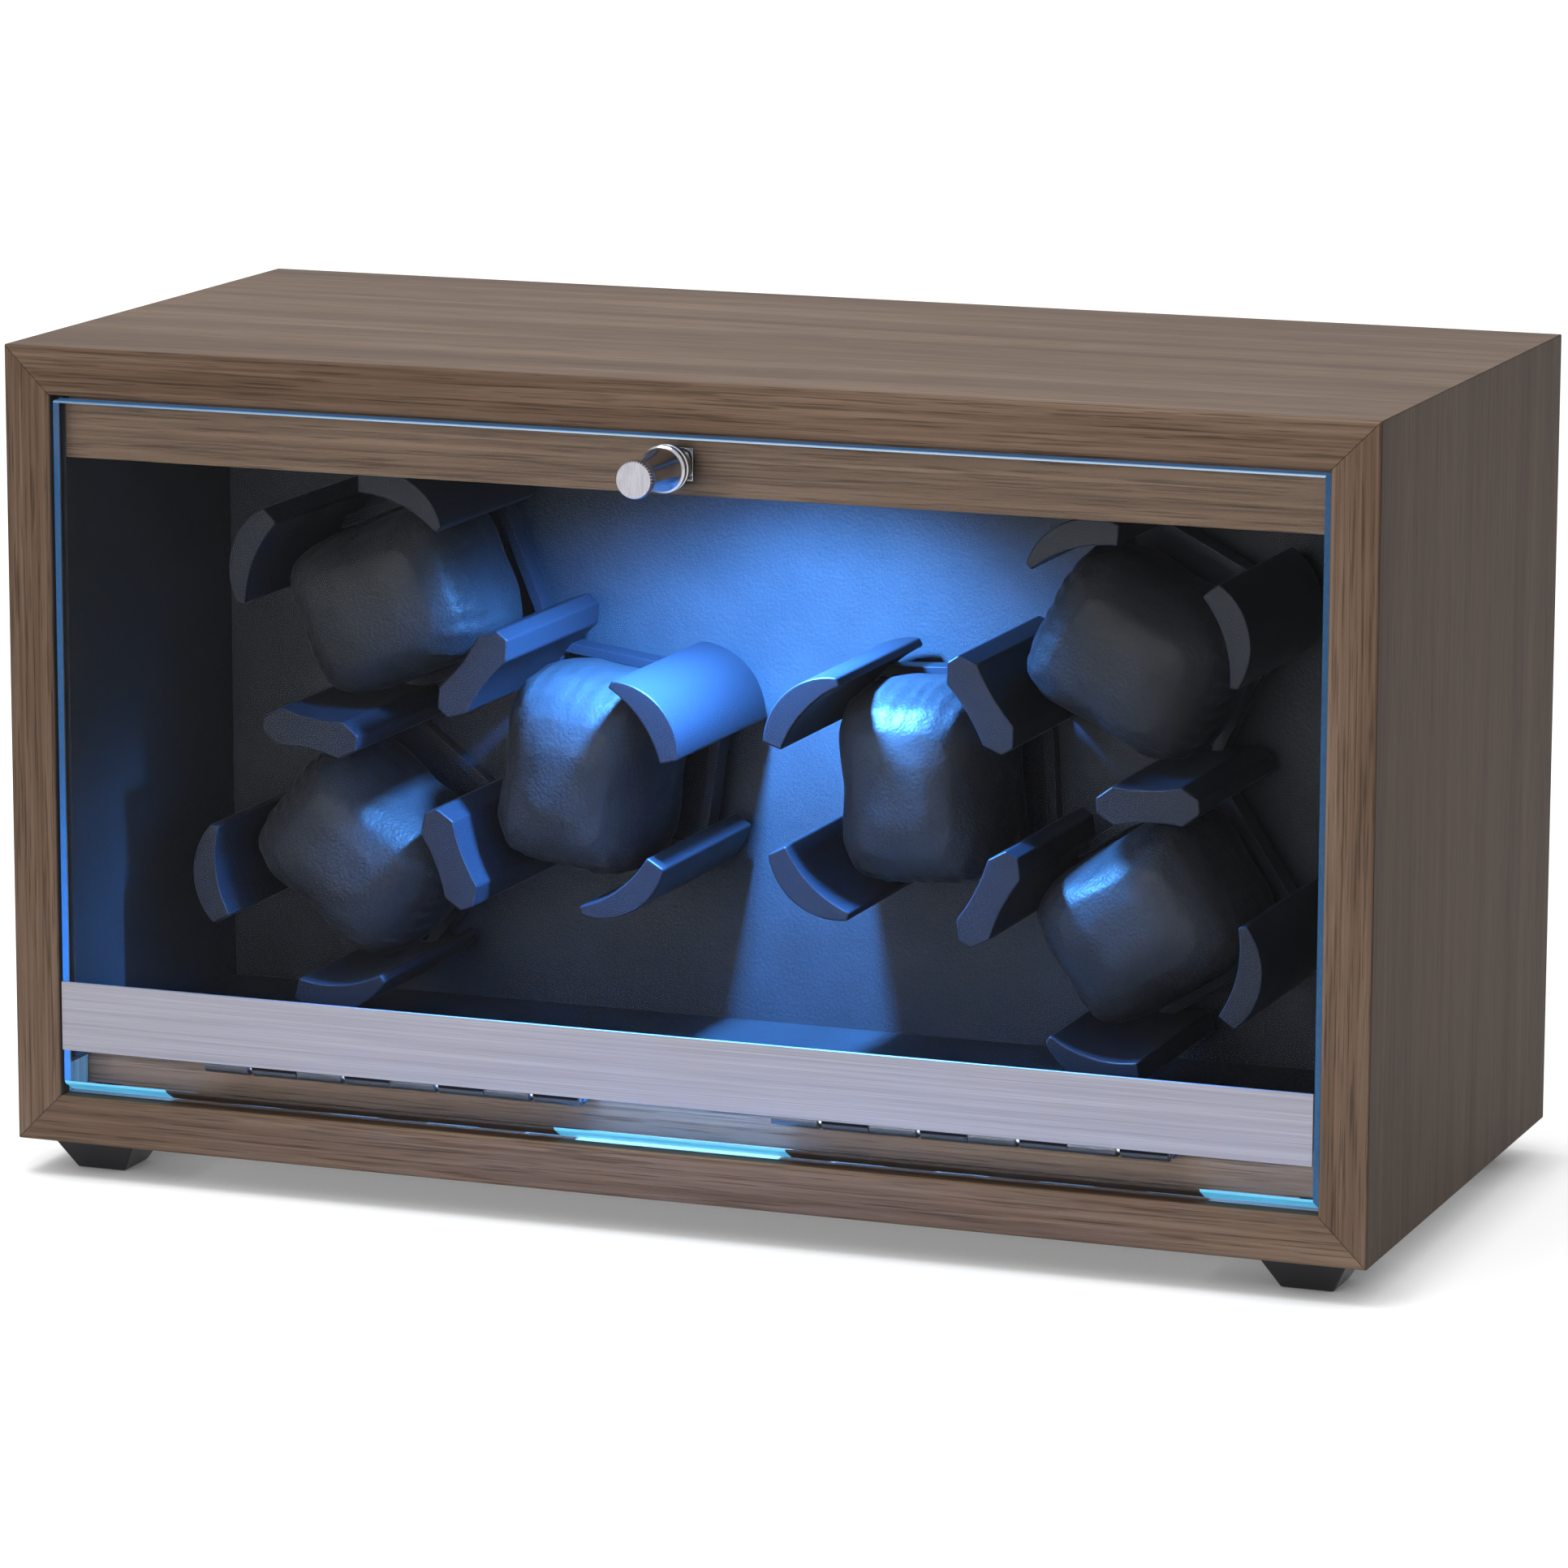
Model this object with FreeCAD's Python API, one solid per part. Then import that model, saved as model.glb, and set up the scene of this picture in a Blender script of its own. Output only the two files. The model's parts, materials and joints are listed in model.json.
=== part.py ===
import FreeCAD, Part
import math
import os

os.makedirs("parts", exist_ok=True)

# Watch winder box: a mitred walnut case with a drop-down glass door and two motor-driven turntables.
# Each turntable carries three watch pillows between nine prongs. Millimetres, +Z up, the front faces -Y.
# The origin lies on the table, under the middle of the overall box, pull knob included.
# The case is sized outwards from the watch holder, so its width, height and depth follow from these values.

# Watch holder and turntable moulding
HOLDER_SIDE = 47.5
PETAL_THICKNESS = 6.6
PETAL_WIDE_END = 5.2
PETAL_NARROW_END = 2.2
PETAL_HALF_ANGLE = 22.0
FIN_LENGTH = 26.0
FIN_THICKNESS = 9.6
FIN_WAIST = 8.0
FIN_POINT = 4.4
FIN_TIP = 3.6
PRONG_LENGTH = 60.0
BASE_THICKNESS = 3.0
RIM_HEIGHT = 4.0
RIM_THICKNESS = 2.6
HUB_DIAMETER = 16.0
HUB_SKIN = 1.2
HUB_RUN_GAP = 0.5
LEFT_HOLDER_ANGLE = -8.0
RIGHT_HOLDER_ANGLE = 183.0

# Watch pillow: the powers set how square its outline and its crown are
PILLOW_SIDE_GAP = 2.2
PILLOW_BULGE = 3.2
PILLOW_WAIST = 1.2
PILLOW_PRONG_GAP = 0.4
PILLOW_SET_BACK = 4.0
PILLOW_SEAT_GAP = 0.3
PILLOW_OUTLINE_POWER = 5.0
PILLOW_CROWN_POWER = 3.0
PILLOW_CORNERS = 20
PILLOW_RINGS = 8
PILLOW_CROWN_ANGLE = 80.0

# Room round the turntables
SIDE_ROOM = 6.6
MIDDLE_ROOM = 18.2
FLOOR_ROOM = 3.0
HEAD_ROOM = 1.2
FRONT_ROOM = 30.0
BACK_ROOM = 7.0

# Case, lining and feet
PANEL_THICKNESS = 12.0
PANEL_EDGE_RADIUS = 0.8
LINER_THICKNESS = 1.5
FLOOR_LINER_THICKNESS = 1.6
BOARD_LINER_THICKNESS = 1.2
LINER_SET_BACK = 3.0
FLOOR_BOARD_THICKNESS = 8.4
FASCIA_HEIGHT = 16.0
FASCIA_THICKNESS = 12.0
MOTOR_BOARD_THICKNESS = 6.0
BACK_PANEL_THICKNESS = 4.0
BACK_PANEL_FIT = 0.4
CLEAT_SIDE = 13.0
CLEAT_LENGTH = 24.0
FOOT_HEIGHT = 9.0
FOOT_TOP = 23.0
FOOT_BOTTOM = 13.0
FOOT_INSET = 6.0

# Door: glass sheet, metal strip and pull knob
GLASS_THICKNESS = 5.0
DOOR_GAP = 1.2
GLASS_SILL_GAP = 0.4
GLASS_SWING_GAP = 0.6
STRIP_HEIGHT = 17.4
STRIP_THICKNESS = 1.0
KNOB_REACH = 22.0
KNOB_DROP = 7.3
KNOB_FACE_DIAMETER = 9.4
KNOB_FACE_THICKNESS = 2.6
KNOB_KNURLS = 38
KNOB_KNURL_DEPTH = 0.35
KNOB_NECK_DIAMETER = 8.2
KNOB_FLARE_DIAMETER = 10.0
KNOB_NECK_SIDES = 24
KNOB_COLLAR_DIAMETER = 11.4
KNOB_COLLAR_THICKNESS = 4.0
KNOB_THREAD_DEPTH = 9.0
KNOB_SCREW_DIAMETER = 4.0
KNOB_SCREW_HEAD_DIAMETER = 8.5
KNOB_SCREW_HEAD_HEIGHT = 2.0
GLASS_HOLE_CLEARANCE = 0.2
MAGNET_SIDE = 8.0
MAGNET_DEPTH = 6.0
MAGNET_PROUD = 0.3
CATCH_GAP = 0.7

# Piano hinges
HINGE_SPACING = 150.0
HINGE_LENGTH = 100.0
HINGE_KNUCKLES = 8
HINGE_WIDE_GAP = 1.2
HINGE_FINE_GAP = 0.15
HINGE_BARREL_DIAMETER = 3.6
HINGE_BARREL_SIDES = 16
HINGE_BORE_SIDES = 12
HINGE_PIN_DIAMETER = 1.7
HINGE_PIN_CLEARANCE = 0.05
HINGE_LEAF_THICKNESS = 0.8
HINGE_LEAF_RELIEF = 0.3
HINGE_GLASS_GAP = 0.3
HINGE_LEAF_SEAT = 11.0
HINGE_STRIP_MARGIN = 3.0
HINGE_SCREWS = 3
HINGE_SCREW_DIAMETER = 2.4
HINGE_SCREW_HEAD_DIAMETER = 4.6
HINGE_SCREW_HEAD_HEIGHT = 0.7
HINGE_SCREW_DEPTH = 6.0
FLOOR_LINER_GAP = 0.6

# Lamp under the ceiling, behind the fascia
LAMP_LENGTH = 90.0
LAMP_WIDTH = 16.0
LAMP_HEIGHT = 7.0
LAMP_GAP = 1.0
LAMP_WALL = 1.6
LENS_THICKNESS = 2.0

# Drive: shaft, bush, gears, motor and bracket behind the motor board
SHAFT_DIAMETER = 6.0
SHAFT_END = 0.5
RUNNING_CLEARANCE = 0.05
SEAT_CLEARANCE = 0.05
BORE_SIDES = 16
BUSH_WALL = 2.0
BUSH_FLANGE_DIAMETER = 15.0
BUSH_FLANGE_THICKNESS = 1.4
BUSH_RUN_GAP = 0.5
GEAR_MODULE = 1.25
DRIVE_TEETH = 36
PINION_TEETH = 12
GEAR_PRESSURE_ANGLE = 20.0
GEAR_BACKLASH = 0.3
GEAR_ROOT_CLEARANCE = 0.3
DRIVE_FLANK_CHORDS = 1
PINION_FLANK_CHORDS = 2
GEAR_WIDTH = 5.0
GEAR_STANDOFF = 1.5
GEAR_TO_PLATE = 3.0
PINION_SHAFT_DIAMETER = 4.0
PINION_SHAFT_DEPTH = 6.0
BRACKET_THICKNESS = 2.0
BRACKET_WIDTH = 54.0
BRACKET_HEIGHT = 34.0
BRACKET_FLANGE = 11.0
BRACKET_HOLE_DIAMETER = 6.0
MOTOR_DIAMETER = 24.0
MOTOR_LENGTH = 26.0
GEARBOX_SIDE = 27.0
GEARBOX_LENGTH = 11.0
MOTOR_REAR_ROOM = 1.3

# Back controls: mode knobs, lamp rocker, power jack and the board that carries them
MODE_KNOB_SPACING = 44.0
MODE_KNOB_RISE = 18.0
MODE_KNOB_DIAMETER = 15.0
MODE_KNOB_HEIGHT = 6.5
MODE_KNOB_GAP = 0.5
MODE_KNOB_RIBS = 16
MODE_KNOB_RIB_DEPTH = 0.5
MODE_POINTER_WIDTH = 1.0
MODE_POINTER_DEPTH = 0.5
BACK_KNOB_MARGIN = 1.0
MODE_SWITCH_SIDE = 14.0
MODE_SPINDLE_DIAMETER = 6.0
MODE_SPINDLE_END_GAP = 0.5
SWITCH_DEPTH = 10.0
CONTROL_BOARD_THICKNESS = 1.6
CONTROL_BOARD_MARGIN = 8.0
ROCKER_DROP = 4.0
ROCKER_LENGTH = 14.0
ROCKER_WIDTH = 9.0
ROCKER_TILT = 8.0
ROCKER_PROUD = 1.6
ROCKER_SKIRT = 2.4
ROCKER_PIVOT_DIAMETER = 2.4
ROCKER_CLEARANCE = 0.4
ROCKER_WALL = 1.6
ROCKER_BEZEL = 2.0
ROCKER_BEZEL_THICKNESS = 1.2
JACK_DROP = 26.0
JACK_DIAMETER = 10.0
JACK_BORE_DIAMETER = 6.4
JACK_BORE_DEPTH = 9.5
JACK_PIN_DIAMETER = 2.0

# Wood screws of the back panel, feet and brackets: eight-sided bars without their threads
SCREW_DIAMETER = 3.0
SCREW_HEAD_DIAMETER = 6.0
SCREW_HEAD_HEIGHT = 2.0
SCREW_SIDES = 8
SCREW_END_GAP = 0.5
BACK_SCREW_DEPTH = 12.0
FOOT_SCREW_DEPTH = 6.0
BRACKET_SCREW_DEPTH = 4.0

# Places worked out from those sizes
vec = FreeCAD.Vector
x_axis = vec(1, 0, 0)
y_axis = vec(0, 1, 0)
z_axis = vec(0, 0, 1)

triangle_inradius = HOLDER_SIDE / (2 * math.sqrt(3))
triangle_vertex = HOLDER_SIDE / math.sqrt(3)
holder_offset = triangle_inradius + HOLDER_SIDE / 2
petal_inner = HOLDER_SIDE / math.sqrt(2) - PETAL_THICKNESS / 2
petal_outer = petal_inner + PETAL_THICKNESS
petal_low_angle = math.radians(45.0 - PETAL_HALF_ANGLE)
sweep_radius = math.hypot(
    holder_offset + petal_outer * math.cos(petal_low_angle),
    petal_outer * math.sin(petal_low_angle),
)

inner_width = 2 * LINER_THICKNESS + 2 * SIDE_ROOM + MIDDLE_ROOM + 4 * sweep_radius
case_width = inner_width + 2 * PANEL_THICKNESS
half_width = case_width / 2
half_inner = inner_width / 2
half_cabin = half_inner - LINER_THICKNESS
turn_x = MIDDLE_ROOM / 2 + sweep_radius

bottom_z = FOOT_HEIGHT
sill_z = bottom_z + PANEL_THICKNESS
floor_z = sill_z + FLOOR_BOARD_THICKNESS
turn_z = floor_z + FLOOR_LINER_THICKNESS + FLOOR_ROOM + sweep_radius
fascia_z = turn_z + sweep_radius + HEAD_ROOM
ceiling_z = fascia_z + FASCIA_HEIGHT
top_z = ceiling_z + PANEL_THICKNESS

back_inset = MODE_KNOB_HEIGHT + MODE_KNOB_GAP + BACK_KNOB_MARGIN
motor_space = (GEAR_STANDOFF + GEAR_WIDTH + GEAR_TO_PLATE + BRACKET_THICKNESS
               + MOTOR_LENGTH + MOTOR_REAR_ROOM)
case_depth = (GLASS_THICKNESS + FRONT_ROOM + PRONG_LENGTH + BACK_ROOM + BOARD_LINER_THICKNESS
              + MOTOR_BOARD_THICKNESS + motor_space + BACK_PANEL_THICKNESS + back_inset)
front_y = (KNOB_REACH - case_depth) / 2
glass_y = front_y + GLASS_THICKNESS
prong_y = glass_y + FRONT_ROOM
rotor_y = prong_y + PRONG_LENGTH
tray_floor_y = rotor_y - BASE_THICKNESS
lining_y = rotor_y + BACK_ROOM
board_y = lining_y + BOARD_LINER_THICKNESS
board_back_y = board_y + MOTOR_BOARD_THICKNESS
gear_y = board_back_y + GEAR_STANDOFF
plate_y = gear_y + GEAR_WIDTH + GEAR_TO_PLATE
motor_y = plate_y + BRACKET_THICKNESS
panel_y = board_back_y + motor_space
panel_back_y = panel_y + BACK_PANEL_THICKNESS
back_y = panel_back_y + back_inset
fascia_y = glass_y + KNOB_SCREW_HEAD_HEIGHT + CATCH_GAP + MAGNET_PROUD
fascia_back_y = fascia_y + FASCIA_THICKNESS
liner_y = glass_y + LINER_SET_BACK

barrel_radius = HINGE_BARREL_DIAMETER / 2
hinge_y = glass_y + HINGE_GLASS_GAP + barrel_radius
hinge_z = floor_z + barrel_radius
strip_z = hinge_z + barrel_radius
glass_top_z = ceiling_z - DOOR_GAP
half_door = half_inner - DOOR_GAP
glass_swing = hinge_z - sill_z - GLASS_SILL_GAP
floor_board_y = hinge_y + glass_swing + GLASS_SWING_GAP
frame_leaf_y = floor_board_y + HINGE_LEAF_SEAT
knob_z = glass_top_z - KNOB_DROP

motor_drop = GEAR_MODULE * (DRIVE_TEETH + PINION_TEETH) / 2
motor_z = turn_z - motor_drop
screw_hole = SCREW_DIAMETER + 2 * SEAT_CLEARANCE
sides = (("left", -1, LEFT_HOLDER_ANGLE), ("right", 1, RIGHT_HOLDER_ANGLE))


def block(low, high):
    size = vec(*high) - vec(*low)
    return Part.makeBox(size.x, size.y, size.z, vec(*low))


def rod(start, axis, length, diameter):
    return Part.makeCylinder(diameter / 2, length, vec(*start), axis)


def closed(corners):
    return Part.makePolygon(corners + corners[:1])


def prism(points, low_y, high_y):
    corners = [vec(x, low_y, z) for x, z in points]
    return Part.Face(closed(corners)).extrude(y_axis * (high_y - low_y))


def round_corners(start, axis, radii):
    """Corners evenly spaced round an axis, each at its own radius."""
    across = y_axis if abs(axis.x) > 0.5 else x_axis
    upward = axis.cross(across)
    corners = []
    for index, radius in enumerate(radii):
        turn = 2 * math.pi * index / len(radii)
        outward = across * math.cos(turn) + upward * math.sin(turn)
        corners.append(vec(*start) + outward * radius)
    return corners


def sided_bar(start, axis, length, radii):
    return Part.Face(closed(round_corners(start, axis, radii))).extrude(axis * length)


def ribbed_bar(start, axis, length, diameter, ribs, rib_depth):
    radii = [diameter / 2, diameter / 2 - rib_depth] * ribs
    return sided_bar(start, axis, length, radii)


def shank(start, axis, length, diameter):
    return sided_bar(start, axis, length, [diameter / 2] * SCREW_SIDES)


def flat_sided_bore(start, axis, length, diameter, sides):
    """A bore whose flat sides all clear a round pin of the given diameter."""
    return sided_bar(start, axis, length, [diameter / 2 / math.cos(math.pi / sides)] * sides)


def screw(seat, axis, depth, diameter, head_diameter, head_height):
    """A screw whose head stands on seat, with its shank along axis."""
    head = shank(vec(*seat) - axis * head_height, axis, head_height, head_diameter)
    return head.fuse(shank(seat, axis, depth, diameter)).removeSplitter()


def wood_screw(seat, axis, depth):
    return screw(seat, axis, depth, SCREW_DIAMETER, SCREW_HEAD_DIAMETER, SCREW_HEAD_HEIGHT)


def flat_loft(sections):
    """A loft through outlines whose sides stay parallel, so that each of its faces is flat."""
    faces = [Part.Face(closed(sections[0])), Part.Face(closed(sections[-1]))]
    for lower, upper in zip(sections, sections[1:]):
        for index in range(len(lower)):
            corners = [lower[index - 1], lower[index], upper[index], upper[index - 1]]
            faces.append(Part.Face(closed(corners)))
    shell = Part.makeShell(faces)
    shell.sewShape()
    solid = Part.makeSolid(shell)
    if solid.Volume < 0:
        solid.reverse()
    return solid


def arc(start, middle, end):
    return Part.Arc(start, middle, end).toShape()


def fuse_all(shapes):
    return shapes[0].fuse(shapes[1:]).removeSplitter()


def keep(name, shape):
    shape.exportStep("parts/" + name + ".step")


def keep_group(name, shapes):
    keep(name, Part.makeCompound(shapes))


# Case panels: trapezoids in the front view, mitred at the corners, with their front edges eased
def mitred_panel(points):
    panel = prism(points, front_y, back_y)
    along_panel = vec(points[1][0] - points[0][0], 0, points[1][1] - points[0][1]).normalize()
    front_edges = []
    for edge in panel.Edges:
        start = edge.Vertexes[0].Point
        end = edge.Vertexes[1].Point
        lengthwise = abs((end - start).normalize().dot(along_panel)) > 0.999
        if lengthwise and abs(start.y - front_y) < 0.001:
            front_edges.append(edge)
    return panel.makeFillet(PANEL_EDGE_RADIUS, front_edges)


foot_middle = FOOT_INSET + FOOT_TOP / 2
foot_places = []
for side_name, foot_x in (("left", foot_middle - half_width), ("right", half_width - foot_middle)):
    for depth_name, foot_y in (("front", front_y + foot_middle), ("back", back_y - foot_middle)):
        foot_places.append((depth_name + "_" + side_name + "_foot", foot_x, foot_y))
foot_seat_z = sill_z - SCREW_HEAD_HEIGHT - SCREW_END_GAP

keep("top_panel", mitred_panel([(-half_width, top_z), (half_width, top_z),
                                (half_inner, ceiling_z), (-half_inner, ceiling_z)]))
for side, sign, angle in sides:
    keep(side + "_panel", mitred_panel([(sign * half_width, bottom_z), (sign * half_width, top_z),
                                        (sign * half_inner, ceiling_z), (sign * half_inner, sill_z)]))
bottom_panel = mitred_panel([(-half_width, bottom_z), (half_width, bottom_z),
                             (half_inner, sill_z), (-half_inner, sill_z)])
head_well = SCREW_HEAD_DIAMETER + 2 * SCREW_END_GAP
for name, foot_x, foot_y in foot_places:
    bottom_panel = bottom_panel.cut([
        shank((foot_x, foot_y, bottom_z), z_axis, PANEL_THICKNESS, screw_hole),
        shank((foot_x, foot_y, foot_seat_z), z_axis, sill_z - foot_seat_z, head_well),
    ])
keep("bottom_panel", bottom_panel)


# Feet: tapered blocks, each held by a screw sunk into the inner side of the bottom panel
def foot_outline(foot_x, foot_y, z, side_length):
    half = side_length / 2
    return [vec(foot_x - half, foot_y - half, z), vec(foot_x + half, foot_y - half, z),
            vec(foot_x + half, foot_y + half, z), vec(foot_x - half, foot_y + half, z)]


foot_screws = []
for name, foot_x, foot_y in foot_places:
    foot = flat_loft([foot_outline(foot_x, foot_y, 0, FOOT_BOTTOM),
                      foot_outline(foot_x, foot_y, FOOT_HEIGHT, FOOT_TOP)])
    pilot_depth = FOOT_SCREW_DEPTH + SCREW_END_GAP
    keep(name, foot.cut(shank((foot_x, foot_y, FOOT_HEIGHT), -z_axis, pilot_depth, screw_hole)))
    reach = foot_seat_z - bottom_z + FOOT_SCREW_DEPTH
    foot_screws.append(wood_screw((foot_x, foot_y, foot_seat_z), -z_axis, reach))
keep_group("foot_screws", foot_screws)

# Floor board: lies on the bottom panel behind the swing of the glass, and its top carries the hinges
hinge_screw_y = floor_board_y + HINGE_LEAF_SEAT / 2
hinge_screw_pitch = HINGE_LENGTH / HINGE_SCREWS
hinge_screw_hole = HINGE_SCREW_DIAMETER + 2 * SEAT_CLEARANCE
hinge_screw_places = []
for side, sign, angle in sides:
    for index in range(HINGE_SCREWS):
        place_x = sign * HINGE_SPACING / 2 + (index - (HINGE_SCREWS - 1) / 2) * hinge_screw_pitch
        hinge_screw_places.append(place_x)

floor_board = block((-half_inner, floor_board_y, sill_z), (half_inner, board_y, floor_z))
for place_x in hinge_screw_places:
    pilot_depth = HINGE_SCREW_DEPTH + SCREW_END_GAP
    pilot = shank((place_x, hinge_screw_y, floor_z), -z_axis, pilot_depth, hinge_screw_hole)
    floor_board = floor_board.cut(pilot)
keep("floor_board", floor_board)

# Fascia: hangs under the top panel behind the glass, hides the lamp and holds the catch magnet
magnet_y = fascia_y - MAGNET_PROUD
half_magnet = MAGNET_SIDE / 2
magnet = block((-half_magnet, magnet_y, knob_z - half_magnet),
               (half_magnet, magnet_y + MAGNET_DEPTH, knob_z + half_magnet))
fascia = block((-half_cabin, fascia_y, fascia_z), (half_cabin, fascia_back_y, ceiling_z))
keep("top_fascia", fascia.cut(magnet))
keep("catch_magnet", magnet)

# Leather lining of the cabin
floor_liner_y = frame_leaf_y + FLOOR_LINER_GAP
floor_liner_z = floor_z + FLOOR_LINER_THICKNESS
ceiling_liner_z = ceiling_z - LINER_THICKNESS
keep("left_liner", block((-half_inner, liner_y, floor_z), (-half_cabin, lining_y, ceiling_z)))
keep("right_liner", block((half_cabin, liner_y, floor_z), (half_inner, lining_y, ceiling_z)))
keep("floor_liner", block((-half_cabin, floor_liner_y, floor_z), (half_cabin, lining_y, floor_liner_z)))
keep("ceiling_liner", block((-half_cabin, fascia_back_y, ceiling_liner_z),
                            (half_cabin, lining_y, ceiling_z)))

# Lamp: a shallow tray under the ceiling with a clear lens let into its mouth
lamp_y = fascia_back_y + LAMP_GAP
lamp_bottom_z = ceiling_liner_z - LAMP_HEIGHT
lamp_low = (-LAMP_LENGTH / 2, lamp_y, lamp_bottom_z)
lamp_high = (LAMP_LENGTH / 2, lamp_y + LAMP_WIDTH, ceiling_liner_z)
lens_low = (lamp_low[0] + LAMP_WALL, lamp_low[1] + LAMP_WALL, lamp_bottom_z)
lens_high = (lamp_high[0] - LAMP_WALL, lamp_high[1] - LAMP_WALL, lamp_bottom_z + LENS_THICKNESS)
tray_high = (lens_high[0], lens_high[1], ceiling_liner_z - LAMP_WALL)
keep("lamp_housing", block(lamp_low, lamp_high).cut(block(lens_low, tray_high)))
keep("lamp_lens", block(lens_low, lens_high))

# Motor board with its leather face, and a flanged bush for each turntable shaft
bush_bore = SHAFT_DIAMETER + 2 * RUNNING_CLEARANCE
bush_diameter = bush_bore + 2 * BUSH_WALL
bush_hole = bush_diameter + 2 * SEAT_CLEARANCE
bush_back_y = gear_y - BUSH_RUN_GAP
bush_flange_y = lining_y - BUSH_FLANGE_THICKNESS
bracket_screw_x = BRACKET_WIDTH / 2 + BRACKET_FLANGE / 2

motor_board = block((-half_inner, board_y, sill_z), (half_inner, board_back_y, ceiling_z))
board_liner = block((-half_inner, lining_y, floor_z), (half_inner, board_y, ceiling_z))
bushes = []
for side, sign, angle in sides:
    axis_x = sign * turn_x
    seat_hole = rod((axis_x, lining_y, turn_z), y_axis, board_back_y - lining_y, bush_hole)
    motor_board = motor_board.cut(seat_hole)
    board_liner = board_liner.cut(seat_hole)
    for screw_x in (axis_x - bracket_screw_x, axis_x + bracket_screw_x):
        pilot_depth = BRACKET_SCREW_DEPTH + SCREW_END_GAP
        pilot = shank((screw_x, board_back_y, motor_z), -y_axis, pilot_depth, screw_hole)
        motor_board = motor_board.cut(pilot)
    sleeve = rod((axis_x, lining_y, turn_z), y_axis, bush_back_y - lining_y, bush_diameter)
    flange = rod((axis_x, bush_flange_y, turn_z), y_axis, BUSH_FLANGE_THICKNESS, BUSH_FLANGE_DIAMETER)
    bore = rod((axis_x, bush_flange_y, turn_z), y_axis, bush_back_y - bush_flange_y, bush_bore)
    bushes.append(sleeve.fuse(flange).cut(bore))
keep_group("shaft_bushes", bushes)
keep("motor_board", motor_board)
keep("board_liner", board_liner)


# Turntable: one moulding with three square trays round a triangle, six petal prongs and three shared fins
def petal(corner_sign):
    """Crescent prong on an outer corner of the tray along +X, its wide end outwards."""
    def place(radius, turn):
        angle = math.radians(corner_sign * (45.0 + turn))
        return vec(holder_offset + radius * math.cos(angle), prong_y, radius * math.sin(angle))

    inner_low = place(petal_inner, -PETAL_HALF_ANGLE)
    inner_high = place(petal_inner, PETAL_HALF_ANGLE)
    outer_low = place(petal_inner + PETAL_WIDE_END, -PETAL_HALF_ANGLE)
    outer_high = place(petal_inner + PETAL_NARROW_END, PETAL_HALF_ANGLE)
    wire = Part.Wire([
        arc(inner_low, place(petal_inner, 0), inner_high),
        Part.makeLine(inner_high, outer_high),
        arc(outer_high, place(petal_outer, 0), outer_low),
        Part.makeLine(outer_low, inner_low),
    ])
    return Part.Face(wire).extrude(y_axis * PRONG_LENGTH)


def fin():
    """Waisted prong on the triangle's corner along +X, shared by the trays on both sides of it."""
    near = triangle_vertex - FIN_LENGTH / 2
    far = triangle_vertex + FIN_LENGTH / 2
    half = FIN_THICKNESS / 2
    waist = FIN_WAIST / 2
    tip = FIN_TIP / 2

    def place(x, z):
        return vec(x, prong_y, z)

    wire = Part.Wire([
        Part.makeLine(place(near, -tip), place(near, tip)),
        Part.makeLine(place(near, tip), place(near + FIN_POINT, half)),
        arc(place(near + FIN_POINT, half), place(triangle_vertex, waist), place(far - FIN_POINT, half)),
        Part.makeLine(place(far - FIN_POINT, half), place(far, tip)),
        Part.makeLine(place(far, tip), place(far, -tip)),
        Part.makeLine(place(far, -tip), place(far - FIN_POINT, -half)),
        arc(place(far - FIN_POINT, -half), place(triangle_vertex, -waist), place(near + FIN_POINT, -half)),
        Part.makeLine(place(near + FIN_POINT, -half), place(near, -tip)),
    ])
    return Part.Face(wire).extrude(y_axis * PRONG_LENGTH)


def tray():
    """Square tray along +X: a floor with a rim, open to the front."""
    half = HOLDER_SIDE / 2
    rim_y = tray_floor_y - RIM_HEIGHT
    outer = block((triangle_inradius, rim_y, -half), (triangle_inradius + HOLDER_SIDE, rotor_y, half))
    inner = block((triangle_inradius + RIM_THICKNESS, rim_y, -half + RIM_THICKNESS),
                  (triangle_inradius + HOLDER_SIDE - RIM_THICKNESS, tray_floor_y, half - RIM_THICKNESS))
    return outer.cut(inner)


hub_back_y = bush_flange_y - HUB_RUN_GAP
shaft_y = tray_floor_y + HUB_SKIN
shaft_length = gear_y + GEAR_WIDTH + SHAFT_END - shaft_y
shaft_bore = SHAFT_DIAMETER + 2 * SEAT_CLEARANCE


def turntable():
    """The moulding with its axis on the Y axis of the model."""
    corners = []
    for turn in (60, 180, 300):
        angle = math.radians(turn)
        corners.append((triangle_vertex * math.cos(angle), triangle_vertex * math.sin(angle)))
    solids = [prism(corners, tray_floor_y, rotor_y)]
    solids.append(rod((0, tray_floor_y, 0), y_axis, hub_back_y - tray_floor_y, HUB_DIAMETER))
    for turn in (0, 120, 240):
        for piece, offset in ((tray(), 0), (petal(1), 0), (petal(-1), 0), (fin(), 60)):
            piece.rotate(vec(0, 0, 0), y_axis, -turn - offset)
            solids.append(piece)
    return fuse_all(solids).cut(rod((0, shaft_y, 0), y_axis, hub_back_y - shaft_y, shaft_bore))


def onto_axis(shape, sign, angle):
    """Turn a piece from +X to the rest angle of its turntable and carry it to that turntable's axis."""
    placed = shape.copy()
    placed.rotate(vec(0, 0, 0), y_axis, -angle)
    placed.translate(vec(sign * turn_x, 0, turn_z))
    return placed


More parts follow.
